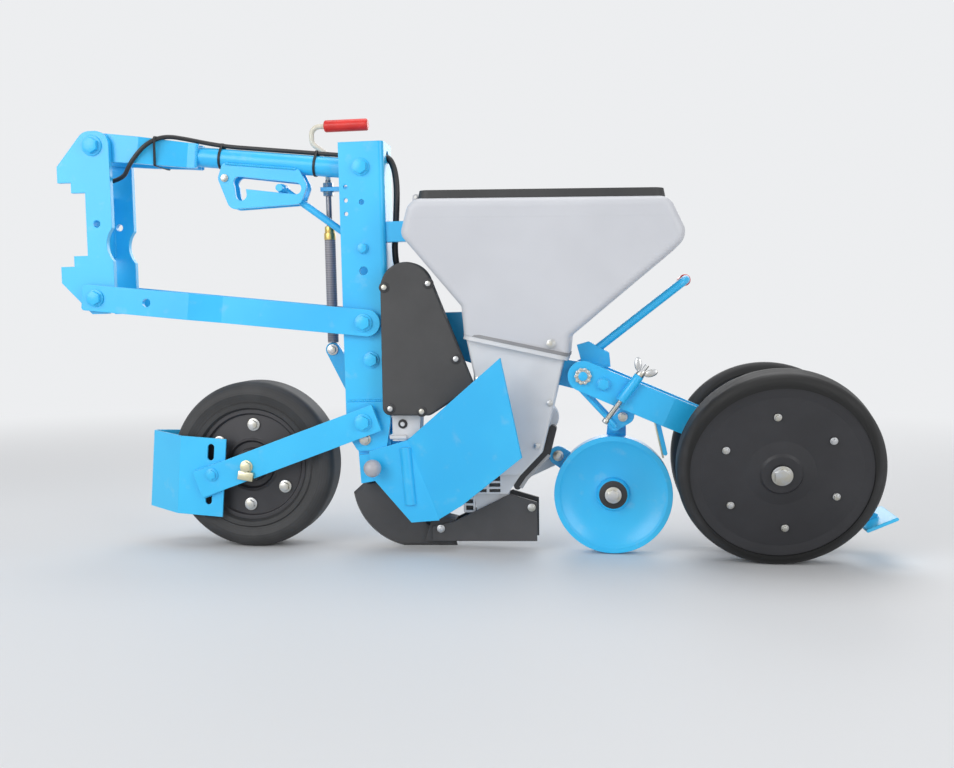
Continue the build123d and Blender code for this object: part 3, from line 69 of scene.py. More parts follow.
class Wire:
    """One shader socket. Python maths on it adds Math nodes, and node() adds any other kind."""

    def __init__(self, tree, socket=None):
        self.tree, self.socket = tree, socket

    def node(self, kind, sockets=None, out=0, **settings):
        made = self.tree.nodes.new(kind)
        for name, value in settings.items():
            setattr(made, name, value)
        for key, value in (sockets or {}).items():
            if isinstance(value, Wire):
                self.tree.links.new(value.socket, made.inputs[key])
            else:
                made.inputs[key].default_value = value
        return Wire(self.tree, made.outputs[out] if made.outputs else None)

    def maths(self, operation, *values):
        return self.node("ShaderNodeMath", dict(enumerate(values)), operation=operation)

    def __add__(self, other):
        return self.maths("ADD", self, other)

    def __sub__(self, other):
        return self.maths("SUBTRACT", self, other)

    def __rsub__(self, other):
        return self.maths("SUBTRACT", other, self)

    def __mul__(self, other):
        return self.maths("MULTIPLY", self, other)

    __radd__, __rmul__ = __add__, __mul__

    def ease(self, low, high):
        """0 below low, 1 above high, smooth between."""
        return self.node("ShaderNodeMapRange", {"Value": self, "From Min": low, "From Max": high},
                         interpolation_type="SMOOTHSTEP")

    def tint(self, first, second):
        """The first colour where this is 0, the second where it is 1."""
        factor, colour_a, colour_b, result = 0, 6, 7, 2  # a Mix node's sockets share their names
        return self.node("ShaderNodeMix", {factor: self, colour_a: first, colour_b: second}, out=result,
                         data_type="RGBA")

    def noise(self, scale, detail=2.0):
        return self.node("ShaderNodeTexNoise", {"Vector": self, "Scale": scale, "Detail": detail})

    def bump(self, strength, depth, over=None):
        """The normal with this as its relief, over another normal where one is given."""
        sockets = {"Strength": strength, "Distance": depth, "Height": self}
        if over is not None:
            sockets["Normal"] = over
        return self.node("ShaderNodeBump", sockets)


def start_finish(name):
    """An empty material, and the wire that carries Object coordinates in it."""
    material = bpy.data.materials.new(name)
    material.use_nodes = True
    material.node_tree.nodes.clear()
    return material, Wire(material.node_tree).node("ShaderNodeTexCoord", out="Object")


def close_finish(where, sockets):
    where.node("ShaderNodeOutputMaterial", {"Surface": where.node("ShaderNodeBsdfPrincipled", sockets)})


def soft_edges(where, radius):
    """The normal as rounded over sharp edges, and a mask that is 1 on those edges."""
    rounded = where.node("ShaderNodeBevel", {"Radius": radius}, samples=10)
    flat = where.node("ShaderNodeNewGeometry", out="Normal")
    facing = where.node("ShaderNodeVectorMath", {0: rounded, 1: flat}, out="Value", operation="DOT_PRODUCT")
    return rounded, (1 - facing).ease(low=0.05, high=0.2)


def spray_paint(name, deep, light, edge_highlight_colour, dust_colour):
    """Gloss spray paint: a cloudy coat with fine orange peel, and a painted highlight along the plate edges.
    """
    material, where = start_finish(name)
    cloud = where.noise(scale=4.5, detail=3.0)
    peel = where.noise(scale=420.0, detail=1.0)
    rounded, edge = soft_edges(where, radius=0.0016)
    coat = cloud.ease(low=0.35, high=0.68).tint(deep, light)
    dust = where.noise(scale=38.0, detail=4.0).ease(low=0.58, high=0.8)
    # The paler azure along the plate edges is a painted highlight.
    close_finish(where, {
        "Base Color": (edge * 0.4).tint((dust * 0.12).tint(coat, dust_colour), edge_highlight_colour),
        "Roughness": 0.27 + cloud * 0.12,
        "Coat Weight": 0.4, "Coat Roughness": 0.3, "Specular IOR Level": 0.4,
        "Normal": peel.bump(strength=0.12, depth=0.0005, over=rounded),
    })
    return material


azure = spray_paint("azure_paint", deep=(0.026, 0.495, 0.92, 1), light=(0.038, 0.565, 0.97, 1),
                    edge_highlight_colour=(0.20, 0.66, 0.98, 1), dust_colour=(0.62, 0.72, 0.8, 1))


def coat_nodes(material, *names):
    for name in names:
        frame["nodes"][name].data.materials.clear()
        frame["nodes"][name].data.materials.append(material)


def piece(name, bm, material, body, place=upright):
    """Moves a finished bmesh from its own frame into place as an object that rides on a body."""
    bmesh.ops.transform(bm, matrix=place, verts=bm.verts)
    bmesh.ops.recalc_face_normals(bm, faces=bm.faces)
    mesh = bpy.data.meshes.new(name)
    bm.to_mesh(mesh)
    bm.free()
    crease = math.radians(35)
    mesh.shade_smooth()
    mesh.set_sharp_from_angle(angle=crease)
    mesh.materials.append(material)
    made = bpy.data.objects.new(name, mesh)
    bpy.context.scene.collection.objects.link(made)
    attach(made, body)
    return made


def bar(bm, start, end, radius, sides=28, chamfer=0.0, tip=None):
    """A round bar, or one with six sides, between two points, its end edges chamfered."""
    run = Vector(end) - Vector(start)
    turn = run.to_track_quat("Z", "Y").to_matrix().to_4x4()
    place = Matrix.Translation((Vector(start) + Vector(end)) / 2) @ turn
    made = bmesh.ops.create_cone(bm, cap_ends=True, segments=sides, radius1=radius,
                                 radius2=radius if tip is None else tip, depth=run.length, matrix=place)
    if chamfer:
        caps = {face for vert in made["verts"] for face in vert.link_faces if len(face.verts) == sides}
        ends = {edge for face in caps for edge in face.edges}
        bmesh.ops.bevel(bm, geom=list(ends), offset=chamfer, offset_type="OFFSET", segments=2, profile=0.5,
                        affect="EDGES", clamp_overlap=True, material=-1)


def cross_bar(bm, x, z, start, end, radius, **ends):
    """A round bar straight across the unit, from one depth to another."""
    bar(bm, (x, start, z), (x, end, z), radius, **ends)


def hex_head(bm, at, axis, flats, height, washer, thread=0.0):
    """A hex head or nut on its washer, with the bolt's end standing out of it where it is a nut."""
    washer_thick, head_from, corner_r, thread_r = 0.0028, 0.0026, flats / math.sqrt(3), flats * 0.31
    at, axis = Vector(at), Vector(axis).normalized()
    top = at + axis * (washer_thick + height)
    bar(bm, at, at + axis * washer_thick, washer, sides=32, chamfer=0.0007)
    bar(bm, at + axis * head_from, top, corner_r, sides=6, chamfer=0.0011)
    if thread:
        bar(bm, at + axis * height, top + axis * thread, thread_r, sides=20, chamfer=0.0012)


def cross_bolt(bm, x, z, shank, half, flats=0.024, washer=0.0168):
    """A long bolt across the unit: head on the near side, nut and thread end on the far side."""
    head_height, nut_height = flats * 0.36, flats * 0.4
    cross_bar(bm, x, z, -half, half, shank, sides=32)
    hex_head(bm, (x, -half, z), NEAR, flats, head_height, washer)
    hex_head(bm, (x, half, z), FAR, flats, nut_height, washer, thread=0.003)


def collars(bm, x, z, inner, outer, radius):
    """A spacer round a cross bolt, the same on both sides."""
    for side in SIDES:
        cross_bar(bm, x, z, side * inner, side * outer, radius)


def weld(bm, start, end, radius=0.0032):
    """A fillet weld: a row of overlapping ripples along a seam."""
    start, end = Vector(start), Vector(end)
    ripple_gap, squeezed = radius * 1.15, Matrix.Diagonal((1, 1, 0.75, 1))
    ripples = max(3, round((end - start).length / ripple_gap))
    turn = (end - start).to_track_quat("Z", "Y").to_matrix().to_4x4()
    for step in range(ripples + 1):
        place = Matrix.Translation(start.lerp(end, step / ripples)) @ turn @ squeezed
        bmesh.ops.create_uvsphere(bm, u_segments=8, v_segments=6, radius=radius, matrix=place)


coat_nodes(azure, "bracket_cheek_near", "bracket_cheek_far", "seat_plate")
FRONT_PIN_X, FRONT_UPPER_Z, FRONT_LOWER_Z = -0.970, 0.788, 0.498
PIVOT_SHANK_R, COLLAR_R = 0.012, 0.017
CHEEK_OUT, BAR_GAP, BAR_THICK = 0.055, 0.0036, 0.0108
bm = bmesh.new()
cross_bolt(bm, FRONT_PIN_X, FRONT_UPPER_Z, PIVOT_SHANK_R, CHEEK_OUT, flats=0.027, washer=0.0195)
cross_bolt(bm, FRONT_PIN_X, FRONT_LOWER_Z, PIVOT_SHANK_R, CHEEK_OUT + BAR_GAP + BAR_THICK)
collars(bm, FRONT_PIN_X, FRONT_LOWER_Z, CHEEK_OUT, CHEEK_OUT + BAR_GAP, COLLAR_R)
front_bolts = piece("front_hex_bolts", bm, azure, "toolbar_bracket")
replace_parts(front_bolts, "front_pivot_bolts")
SEAT_X, SEAT_SEAM_Y, SEAT_LOW_Z, SEAT_HIGH_Z = -0.9778, 0.0428, 0.584, 0.696
bm = bmesh.new()
for side in SIDES:
    weld(bm, (SEAT_X, side * SEAT_SEAM_Y, SEAT_LOW_Z), (SEAT_X, side * SEAT_SEAM_Y, SEAT_HIGH_Z))
piece("seat_plate_welds", bm, azure, "toolbar_bracket")


# Upper link: two fork plates drawn in and welded on a steel tube, with a pair of slotted lock plates under
# it, where the pin of the hooked lock rod runs. The lower link is two flat bars with a joggle. They are all
# sprayed azure with the bracket.
coat_nodes(azure, "upper_link", "lower_link_near", "lower_link_far", "lock_rod")
LINK_RUN, LINK_RISE = REAR_PIN_X - FRONT_PIN_X, FRONT_UPPER_Z - UPPER_PIN_Z
link_turn = Matrix.Rotation(math.atan2(LINK_RISE, LINK_RUN), 4, "Y")
link = upright @ Matrix.Translation((REAR_PIN_X, 0, UPPER_PIN_Z)) @ link_turn
FORK_END_X, FORK_SEAM_Y, FORK_SEAM_HALF = -0.3273, 0.0188, 0.020
LOCK_SEAM_Y, LOCK_SEAM_Z, LOCK_SEAM_ENDS = 0.0184, -0.0105, (-0.268, -0.132)
THROAT_SEAM_Y, THROAT_SEAM_Z, THROAT_SEAM_ENDS = 0.010, 0.0195, (-0.356, -0.330)
bm = bmesh.new()
for side in SIDES:
    seam_y = side * FORK_SEAM_Y
    weld(bm, (FORK_END_X, seam_y, -FORK_SEAM_HALF), (FORK_END_X, seam_y, FORK_SEAM_HALF))
    weld(bm, *((x, side * LOCK_SEAM_Y, LOCK_SEAM_Z) for x in LOCK_SEAM_ENDS), radius=0.003)
    for z in (-THROAT_SEAM_Z, THROAT_SEAM_Z):
        weld(bm, *((x, side * THROAT_SEAM_Y, z) for x in THROAT_SEAM_ENDS), radius=0.0028)
piece("link_welds", bm, azure, "upper_link", link)


# Zinc-plated bolts, pins and axles all over the unit: turned and rolled steel with a dull, faintly yellow
# chromate on it, a little darker where it has been handled. The first one clamps the lock plates together.
def plated_steel(name, bright, warm, roughness):
    material, where = start_finish(name)
    bloom = where.noise(scale=55.0, detail=3.0)
    rounded, edge = soft_edges(where, radius=0.0006)
    tone = bloom.ease(low=0.38, high=0.66).tint(bright, warm)
    # The paler colour on the edges is a painted highlight.
    pale_edge_highlight = (0.86, 0.86, 0.85, 1)
    close_finish(where, {
        "Base Color": (edge * 0.5).tint(tone, pale_edge_highlight), "Metallic": 1.0,
        "Roughness": roughness + bloom * 0.16,
        "Normal": where.noise(scale=900.0).bump(strength=0.1, depth=0.0002, over=rounded),
    })
    return material


zinc = plated_steel("zinc_plate", bright=(0.56, 0.57, 0.58, 1), warm=(0.52, 0.50, 0.43, 1), roughness=0.26)
bm = bmesh.new()
hex_head(bm, (-0.269, -0.018, -0.038), NEAR, flats=0.011, height=0.004, washer=0.0075)
piece("lock_plate_bolt", bm, zinc, "upper_link", link)


# Column: a steel plate folded to a channel, open to the front, with gussets welded on its foot. The bolts
# of the links and of the lock rod go through it, and they were sprayed together with it.
coat_nodes(azure, "column", "hopper_support", "depth_lever")
COLUMN_OUT, GUSSET_OUT, LOCK_PIVOT_Z = 0.042, 0.050, 0.578
bm = bmesh.new()
cross_bolt(bm, REAR_PIN_X, UPPER_PIN_Z, PIVOT_SHANK_R, COLUMN_OUT)
cross_bolt(bm, REAR_PIN_X, LOWER_PIN_Z, PIVOT_SHANK_R, COLUMN_OUT + BAR_GAP + BAR_THICK)
cross_bolt(bm, REAR_PIN_X, LOCK_PIVOT_Z, shank=0.008, half=COLUMN_OUT, flats=0.016, washer=0.0105)
collars(bm, REAR_PIN_X, LOWER_PIN_Z, COLUMN_OUT, COLUMN_OUT + BAR_GAP, COLLAR_R)
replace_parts(piece("column_hex_bolts", bm, azure, "row_frame"), "column_pivot_bolts")
FOOT_SEAM_Y, FOOT_SEAM_Z, FOOT_SEAM_ENDS = 0.0425, 0.2915, (-0.486, -0.416)
bm = bmesh.new()
cross_bolt(bm, x=-0.442, z=0.369, shank=0.0075, half=COLUMN_OUT, flats=0.022, washer=0.0155)
for side in SIDES:
    weld(bm, *((x, side * FOOT_SEAM_Y, FOOT_SEAM_Z) for x in FOOT_SEAM_ENDS))
piece("column_foot_welds", bm, azure, "row_frame")


def head_pair(bm, x, out, z, **head):
    """The same hex head on the near and the far face of a piece."""
    for side in SIDES:
        hex_head(bm, (x, side * out, z), (0, side, 0), **head)


bm = bmesh.new()
head_pair(bm, x=-0.457, out=GUSSET_OUT, z=0.220, flats=0.016, height=0.007, washer=0.0115)
piece("gusset_bolts", bm, zinc, "row_frame")


# Depth crank: a bent rod in ivory enamel with a dipped red grip. It turns a grey steel spindle in a grey
# sleeve with fine rings round it and a brass ring at its top. Plated nuts hold the spindle at both ends.
def enamel(name, first, second, roughness):
    material, where = start_finish(name)
    mottle = where.noise(scale=24.0, detail=3.0)
    rounded, edge = soft_edges(where, radius=0.0012)
    body = mottle.ease(low=0.3, high=0.7).tint(first, second)
    # The pale colour on the edges is a painted highlight.
    enamel_edge_highlight = (0.9, 0.85, 0.8, 1)
    close_finish(where, {
        "Base Color": (edge * 0.2).tint(body, enamel_edge_highlight), "Roughness": roughness + mottle * 0.12,
        "Coat Weight": 0.15,
        "Normal": where.noise(scale=500.0).bump(strength=0.05, depth=0.0004, over=rounded),
    })
    return material


coat_nodes(enamel("ivory_enamel", (0.70, 0.66, 0.54, 1), (0.82, 0.79, 0.70, 1), roughness=0.3), "depth_crank")
grip_red = enamel("red_grip", (0.63, 0.012, 0.008, 1), (0.78, 0.024, 0.016, 1), roughness=0.34)
coat_nodes(grip_red, "crank_grip", "lever_grip")
grey_steel = plated_steel(
    "grey_steel", bright=(0.30, 0.30, 0.31, 1), warm=(0.24, 0.24, 0.25, 1), roughness=0.38)
coat_nodes(grey_steel, "depth_spindle")
RING_PITCH = 0.0034
threaded, where = start_finish("threaded_sleeve")
height = where.node("ShaderNodeSeparateXYZ", {"Vector": where}, out="Z")
rings = where.maths("SINE", height * (math.tau / RING_PITCH))
# The grooves between the rings are painted darker as shade.
close_finish(where, {
    "Base Color": rings.ease(low=-0.9, high=0.2).tint((0.20, 0.19, 0.20, 1), (0.36, 0.34, 0.36, 1)),
    "Metallic": 0.25, "Roughness": 0.45 + where.noise(scale=60.0) * 0.2,
    "Normal": rings.bump(strength=0.35, depth=0.0005),
})
coat_nodes(threaded, "spindle_sleeve")
SPINDLE_X, SPINDLE_Y = -0.533, 0.030
brass = plated_steel("brass_ring", bright=(0.72, 0.55, 0.20, 1), warm=(0.66, 0.47, 0.15, 1), roughness=0.3)
bm = bmesh.new()
for low, high, radius, chamfer in ((0.6135, 0.627, 0.0095, 0.0015), (0.6005, 0.6142, 0.0111, 0.001)):
    bar(bm, (SPINDLE_X, SPINDLE_Y, low), (SPINDLE_X, SPINDLE_Y, high), radius, chamfer=chamfer)
piece("sleeve_ring", bm, brass, "row_frame")
NUT_R, NUT_HEIGHT, EYE_HALF, EYE_Z = 0.0105, 0.009, 0.0055, 0.388
bm = bmesh.new()
for low in (0.702, 0.685):
    bar(bm, (SPINDLE_X, SPINDLE_Y, low), (SPINDLE_X, SPINDLE_Y, low + NUT_HEIGHT), NUT_R,
        sides=6, chamfer=0.0012)
for side in SIDES:
    hex_head(bm, (SPINDLE_X, SPINDLE_Y + side * EYE_HALF, EYE_Z), (0, side, 0),
             flats=0.014, height=0.006, washer=0.011)
piece("spindle_nuts", bm, zinc, "row_frame")


# Gauge wheel: a smooth rubber tyre on a pressed dark rim that is bolted together round its well. It turns on
# a plated axle between two flat arms, which pivot on a long bolt through the gussets and carry a folded clod
# deflector, welded and bolted on, in front of the wheel.
def turned_rubber(name, centre, lean, dark, pale, ring_gap, groove):
    """Moulded rubber with fine rings about the wheel's axis, dusty, with painted shade in black in the groove
    at its seat.
    """
    material, where = start_finish(name)
    hub = where.node("ShaderNodeMapping", {"Vector": where, "Location": tuple(-v for v in centre)})
    local = where.node("ShaderNodeMapping", {"Vector": hub, "Rotation": (lean, 0, 0)})
    flat = where.node("ShaderNodeVectorMath", {0: local, 1: (1, 0, 1)}, operation="MULTIPLY")
    radius = where.node("ShaderNodeVectorMath", {0: flat}, out="Value", operation="LENGTH")
    ring = where.maths("SINE", radius * (math.tau / ring_gap))
    smear = where.noise(scale=16.0, detail=4.0)
    worn = smear.ease(low=0.45, high=0.75) * 0.5 + ring.ease(low=0.2, high=1.0) * 0.12
    # The black at the groove of the tyre's seat is painted shade.
    groove_width, groove_shade_black = 0.009, (0.006, 0.006, 0.006, 1)
    seat_shade = radius.ease(low=groove, high=groove + groove_width)
    close_finish(where, {
        "Base Color": seat_shade.tint(groove_shade_black, worn.tint(dark, pale)),
        "Roughness": 0.5 + smear * 0.2, "Specular IOR Level": 0.4,
        "Normal": (ring * 0.5 + where.noise(scale=700.0) * 0.6).bump(strength=0.25, depth=0.0004),
    })
    return material


def moulded(name, dark, pale, roughness, grain=650.0, grain_strength=0.25, highlight_share=0.3):
    """Moulded plastic or a painted casting: a fine even grain, and rounded edges painted paler as a
    highlight.
    """
    material, where = start_finish(name)
    mottle = where.noise(scale=9.0, detail=3.0)
    rounded, edge = soft_edges(where, radius=0.0014)
    body = mottle.ease(low=0.3, high=0.72).tint(dark, pale)
    # The paler colour on the edges is a painted highlight.
    pale_edge_highlight = tuple(min(1, 1.35 * v) for v in pale[:3]) + (1,)
    close_finish(where, {
        "Base Color": (edge * highlight_share).tint(body, pale_edge_highlight),
        "Roughness": roughness + where.noise(scale=130.0, detail=3.0) * 0.14,
        "Normal": where.noise(scale=grain).bump(strength=grain_strength, depth=0.0003, over=rounded),
    })
    return material


gauge_rubber = turned_rubber(
    "gauge_rubber", pins["gauge_wheel_roll"], lean=0, dark=(0.036, 0.036, 0.037, 1),
    pale=(0.066, 0.066, 0.067, 1), ring_gap=0.0045, groove=0.099)
coat_nodes(gauge_rubber, "gauge_tyre")
rim_grey = moulded("rim_grey", (0.026, 0.025, 0.028, 1), (0.040, 0.038, 0.042, 1), roughness=0.38)
coat_nodes(rim_grey, "gauge_rim")
coat_nodes(azure, "gauge_arm_near", "gauge_arm_far", "clod_deflector")


def bolt_circle(x, z, radius, first, step, count=6):
    """Places round a centre as the side view shows them, from the first angle in equal steps, in degrees."""
    angles = [math.radians(first + step * turn) for turn in range(count)]
    return [(x + radius * math.cos(angle), z + radius * math.sin(angle)) for angle in angles]


AXLE_X, AXLE_Z, RIM_FACE = -0.684, 0.172, 0.0322
bm = bmesh.new()
for x, z in bolt_circle(AXLE_X, AXLE_Z, radius=0.077, first=86, step=60):
    head_pair(bm, x, RIM_FACE, z, flats=0.0158, height=0.0070, washer=0.0122)
piece("gauge_rim_bolts", bm, zinc, "gauge_wheel")
ARM_IN, ARM_OUT, HUB_OUT = 0.058, 0.068, 0.0524
bm = bmesh.new()
cross_bolt(bm, AXLE_X, AXLE_Z, shank=0.010, half=ARM_OUT, flats=0.019, washer=0.0125)
collars(bm, AXLE_X, AXLE_Z, HUB_OUT, ARM_IN, radius=0.016)
yellow_zinc = plated_steel(
    "yellow_zinc", bright=(0.66, 0.64, 0.50, 1), warm=(0.62, 0.58, 0.38, 1), roughness=0.3)
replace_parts(piece("gauge_axle_bolt", bm, yellow_zinc, "row_frame"), "gauge_axle")
ARM_PIVOT_X, ARM_PIVOT_Z = -0.456, 0.253
bm = bmesh.new()
cross_bolt(bm, ARM_PIVOT_X, ARM_PIVOT_Z, PIVOT_SHANK_R, ARM_OUT)
collars(bm, ARM_PIVOT_X, ARM_PIVOT_Z, GUSSET_OUT, ARM_IN, radius=0.020)
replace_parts(piece("arm_pivot_bolt", bm, azure, "row_frame"), "gauge_arm_pin")
along = Vector((AXLE_X - ARM_PIVOT_X, 0, AXLE_Z - ARM_PIVOT_Z)).normalized()
across = Vector((along.z, 0, -along.x))
ARM_SEAM_Y, ARM_SEAM_END, ARM_EDGE = 0.0584, 0.345, 0.0262
bm = bmesh.new()
for side in SIDES:
    pivot = Vector((ARM_PIVOT_X, side * ARM_SEAM_Y, ARM_PIVOT_Z))
    for seam_start, aside in ((0.292, across * ARM_EDGE), (0.311, across * -ARM_EDGE)):
        weld(bm, pivot + along * seam_start + aside, pivot + along * ARM_SEAM_END + aside)
head_pair(bm, x=-0.753, out=ARM_OUT, z=0.157, flats=0.017, height=0.0045, washer=0.0125)
piece("deflector_welds", bm, azure, "row_frame")


def block(bm, centre, size, turn=0.0, bevel=0.0015):
    """A small block with its edges taken off, turned about the axis across the unit."""
    corners = bmesh.ops.create_cube(bm, size=1.0)["verts"]
    place = Matrix.Translation(centre) @ Matrix.Rotation(turn, 4, "Y")
    bmesh.ops.transform(bm, matrix=place @ Matrix.Diagonal((*size, 1)), verts=corners)
    edges = list({edge for vert in corners for edge in vert.link_edges})
    bmesh.ops.bevel(bm, geom=edges, offset=bevel, segments=2, profile=0.5, affect="EDGES", material=-1)


STOP_X, STOP_Y, STOP_Z = -0.6845, 0.0725, 0.155
bm = bmesh.new()
for side in SIDES:
    block(bm, (STOP_X, side * STOP_Y, STOP_Z), size=(0.030, 0.009, 0.017), turn=0.18)
piece("axle_stop_blocks", bm, yellow_zinc, "row_frame")


# Furrow opener: a cast share with welded cheeks, in dark grey, under a stem that carries the two folded side
# panels. A pale ball knob sits at the front of the near panel.
opener_iron = moulded("opener_iron", (0.042, 0.042, 0.044, 1), (0.062, 0.061, 0.064, 1), roughness=0.46,
                      grain=380.0, grain_strength=0.45, highlight_share=0.25)
coat_nodes(opener_iron, "shoe")
coat_nodes(azure, "shoe_stem", "side_panel_near", "side_panel_far")
knob_grey = moulded("knob_grey", (0.42, 0.41, 0.44, 1), (0.52, 0.51, 0.54, 1), roughness=0.3,
                    grain=800.0, grain_strength=0.08)
coat_nodes(knob_grey, "latch_knob")
SHOE_CHEEK_OUT = 0.030
bm = bmesh.new()
for x, z in ((-0.147, 0.086), (-0.320, 0.046)):
    head_pair(bm, x, SHOE_CHEEK_OUT, z, flats=0.010, height=0.004, washer=0.0075)
piece("cheek_bolts", bm, zinc, "row_frame")


# Seed meter: a pale painted casting under the hopper, with its suction cover behind, a slotted and ribbed
# chute below and a small drive casting in front. A dark seed duct with a pale strip along it goes down its
# rear edge, and a grey gasket closes the joint to the hopper's neck.
casting = moulded("pale_casting", (0.64, 0.65, 0.67, 1), (0.74, 0.75, 0.77, 1), roughness=0.4,
                  grain=480.0, grain_strength=0.3, highlight_share=0.4)
coat_nodes(casting, "meter_housing", "suction_cover", "seed_chute", "drive_casting")
black_plastic = moulded("black_plastic", (0.020, 0.020, 0.022, 1), (0.034, 0.034, 0.036, 1), roughness=0.42)
coat_nodes(black_plastic, "seed_duct")
SEAM_MID, SEAM_RUN, SEAM_DROP = (-0.1675, 0, 0.391), 0.189, 0.044
seam = upright @ Matrix.Translation(SEAM_MID) @ Matrix.Rotation(math.atan2(SEAM_DROP, SEAM_RUN), 4, "Y")
gasket_grey = moulded("gasket_grey", (0.25, 0.25, 0.26, 1), (0.33, 0.33, 0.34, 1), roughness=0.6)
GASKET_HALF_LONG, GASKET_HALF_WIDE, GASKET_CORNER_R, GASKET_THICK = 0.0992, 0.0778, 0.022, 0.006
bm = bmesh.new()
sheet = bmesh.ops.create_grid(bm, x_segments=1, y_segments=1, size=1.0)["verts"]
bmesh.ops.transform(bm, matrix=Matrix.Diagonal((GASKET_HALF_LONG, GASKET_HALF_WIDE, 1, 1)), verts=sheet)
bmesh.ops.bevel(bm, geom=sheet, offset=GASKET_CORNER_R, segments=8, profile=0.5, affect="VERTICES",
                material=-1)
lifted = bmesh.ops.extrude_face_region(bm, geom=list(bm.faces))["geom"]
top_verts = [vert for vert in lifted if isinstance(vert, bmesh.types.BMVert)]
bmesh.ops.translate(bm, vec=(0, 0, GASKET_THICK), verts=top_verts)
piece("hopper_gasket", bm, gasket_grey, "row_frame", seam)
HOUSING_NEAR_Y, COVER_Y = -0.060, 0.046
bm = bmesh.new()
head_pair(bm, x=-0.102, out=0.0752, z=0.393, flats=0.012, height=0.005, washer=0.0085)
hex_head(bm, (-0.232, 0.0793, 0.424), FAR, flats=0.012, height=0.005, washer=0.0085)
for x, z in ((-0.107, 0.284), (-0.132, 0.205), (-0.238, 0.330)):
    hex_head(bm, (x, HOUSING_NEAR_Y, z), NEAR, flats=0.009, height=0.0035, washer=0.0062)
for x, z in bolt_circle(x=-0.188, z=0.252, radius=0.068, first=75, step=42):
    hex_head(bm, (x, COVER_Y, z), FAR, flats=0.010, height=0.004, washer=0.0075)
piece("meter_bolts", bm, zinc, "row_frame")
SLOT_Y, RIB_X, RIB_Y, ROD_Y, ROD_Z, DETAIL_R = -0.0385, -0.265, -0.019, -0.0505, 0.2235, 0.0042
DRIVE_PIN_X, DRIVE_PIN_Z, DRIVE_FACE_Y = -0.384, 0.248, -0.049
# The black plates in the slot pockets and the black block behind the ribs are painted shade; a black disc
# sits round the drive pin.
bm, shade_and_dark_inserts = bmesh.new(), bmesh.new()
for x in (-0.241, -0.2145):
    for z, tall in ((0.1425, 0.008), (0.1305, 0.006), (0.120, 0.005)):
        block(shade_and_dark_inserts, (x, SLOT_Y, z), size=(0.0212, 0.002, tall), bevel=0.0004)
block(shade_and_dark_inserts, (RIB_X, -0.012, 0.0955), size=(0.019, 0.010, 0.036), bevel=0.001)
for z in (0.0775, 0.0905, 0.1025, 0.1145):
    block(bm, (RIB_X, RIB_Y, z), size=(0.021, 0.008, 0.0042), bevel=0.0008)
for x in (-0.2745, -0.2565):
    block(bm, (x, RIB_Y, 0.096), size=(0.004, 0.0085, 0.041), bevel=0.0008)
bar(bm, (-0.409, ROD_Y, ROD_Z), (-0.377, ROD_Y, ROD_Z), DETAIL_R, sides=20, chamfer=0.001)
cross_bar(bm, DRIVE_PIN_X, DRIVE_PIN_Z, DRIVE_FACE_Y, end=-0.0545, radius=DETAIL_R, sides=24, chamfer=0.001)
cross_bar(shade_and_dark_inserts, DRIVE_PIN_X, DRIVE_PIN_Z, DRIVE_FACE_Y, end=-0.0515, radius=0.0088, sides=32, chamfer=0.0008)
piece("chute_shade_and_dark_inserts", shade_and_dark_inserts, black_plastic, "row_frame")
piece("chute_ribs", bm, casting, "row_frame")
strip_grey = moulded("strip_grey", (0.36, 0.36, 0.37, 1), (0.46, 0.46, 0.47, 1), roughness=0.45)
STRIP_Y, STRIP_R = -0.0265, 0.0042
strip_top, strip_elbow, strip_foot = (Vector((x, STRIP_Y, z)) for x, z in (
    (-0.1123, 0.1850), (-0.1557, 0.1408), (-0.1676, 0.1231)))
bm = bmesh.new()
bar(bm, strip_top, strip_elbow, STRIP_R, sides=20, chamfer=0.001)
bar(bm, strip_elbow, strip_foot, STRIP_R, sides=20, chamfer=0.001)
bmesh.ops.create_uvsphere(
    bm, u_segments=20, v_segments=12, radius=STRIP_R, matrix=Matrix.Translation(strip_elbow))
piece("seed_duct_strip", bm, strip_grey, "row_frame")


# Hopper: a rotation-moulded white tub, with a faint crease below its shoulder where the mould halves met, and
# a dark moulded lid hinged on a thin pin at the front. The crease and the tub's edges are painted darker as
# shade.
white, where = start_finish("white_polymer")
height = where.node("ShaderNodeSeparateXYZ", {"Vector": where}, out="Z")
CREASE_DROP, CREASE_HALF = 0.036, 0.003
CREASE_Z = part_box("hopper_lid")[0].z - CREASE_DROP
crease = height.ease(CREASE_Z - CREASE_HALF, CREASE_Z) - height.ease(CREASE_Z, CREASE_Z + CREASE_HALF)
mottle = where.noise(scale=5.0, detail=3.0)
speck = where.noise(scale=240.0)
rounded, edge = soft_edges(where, radius=0.002)
body = mottle.ease(low=0.3, high=0.7).tint((0.585, 0.595, 0.63, 1), (0.635, 0.645, 0.68, 1))
# The crease band and the edges of the tub are painted darker as shade.
close_finish(where, {
    "Base Color": (crease * 0.06 + edge * 0.1).tint(body, (0.45, 0.46, 0.5, 1)),
    "Roughness": 0.40 + speck * 0.12,
    "Normal": (speck * 0.5 + mottle - crease).bump(strength=0.15, depth=0.0005, over=rounded),
})
coat_nodes(white, "hopper")
lid_grey = moulded("lid_grey", (0.027, 0.027, 0.028, 1), (0.038, 0.038, 0.039, 1), roughness=0.5,
                   grain=520.0, grain_strength=0.35)
coat_nodes(lid_grey, "hopper_lid")
coat_nodes(zinc, "hinge_pin")


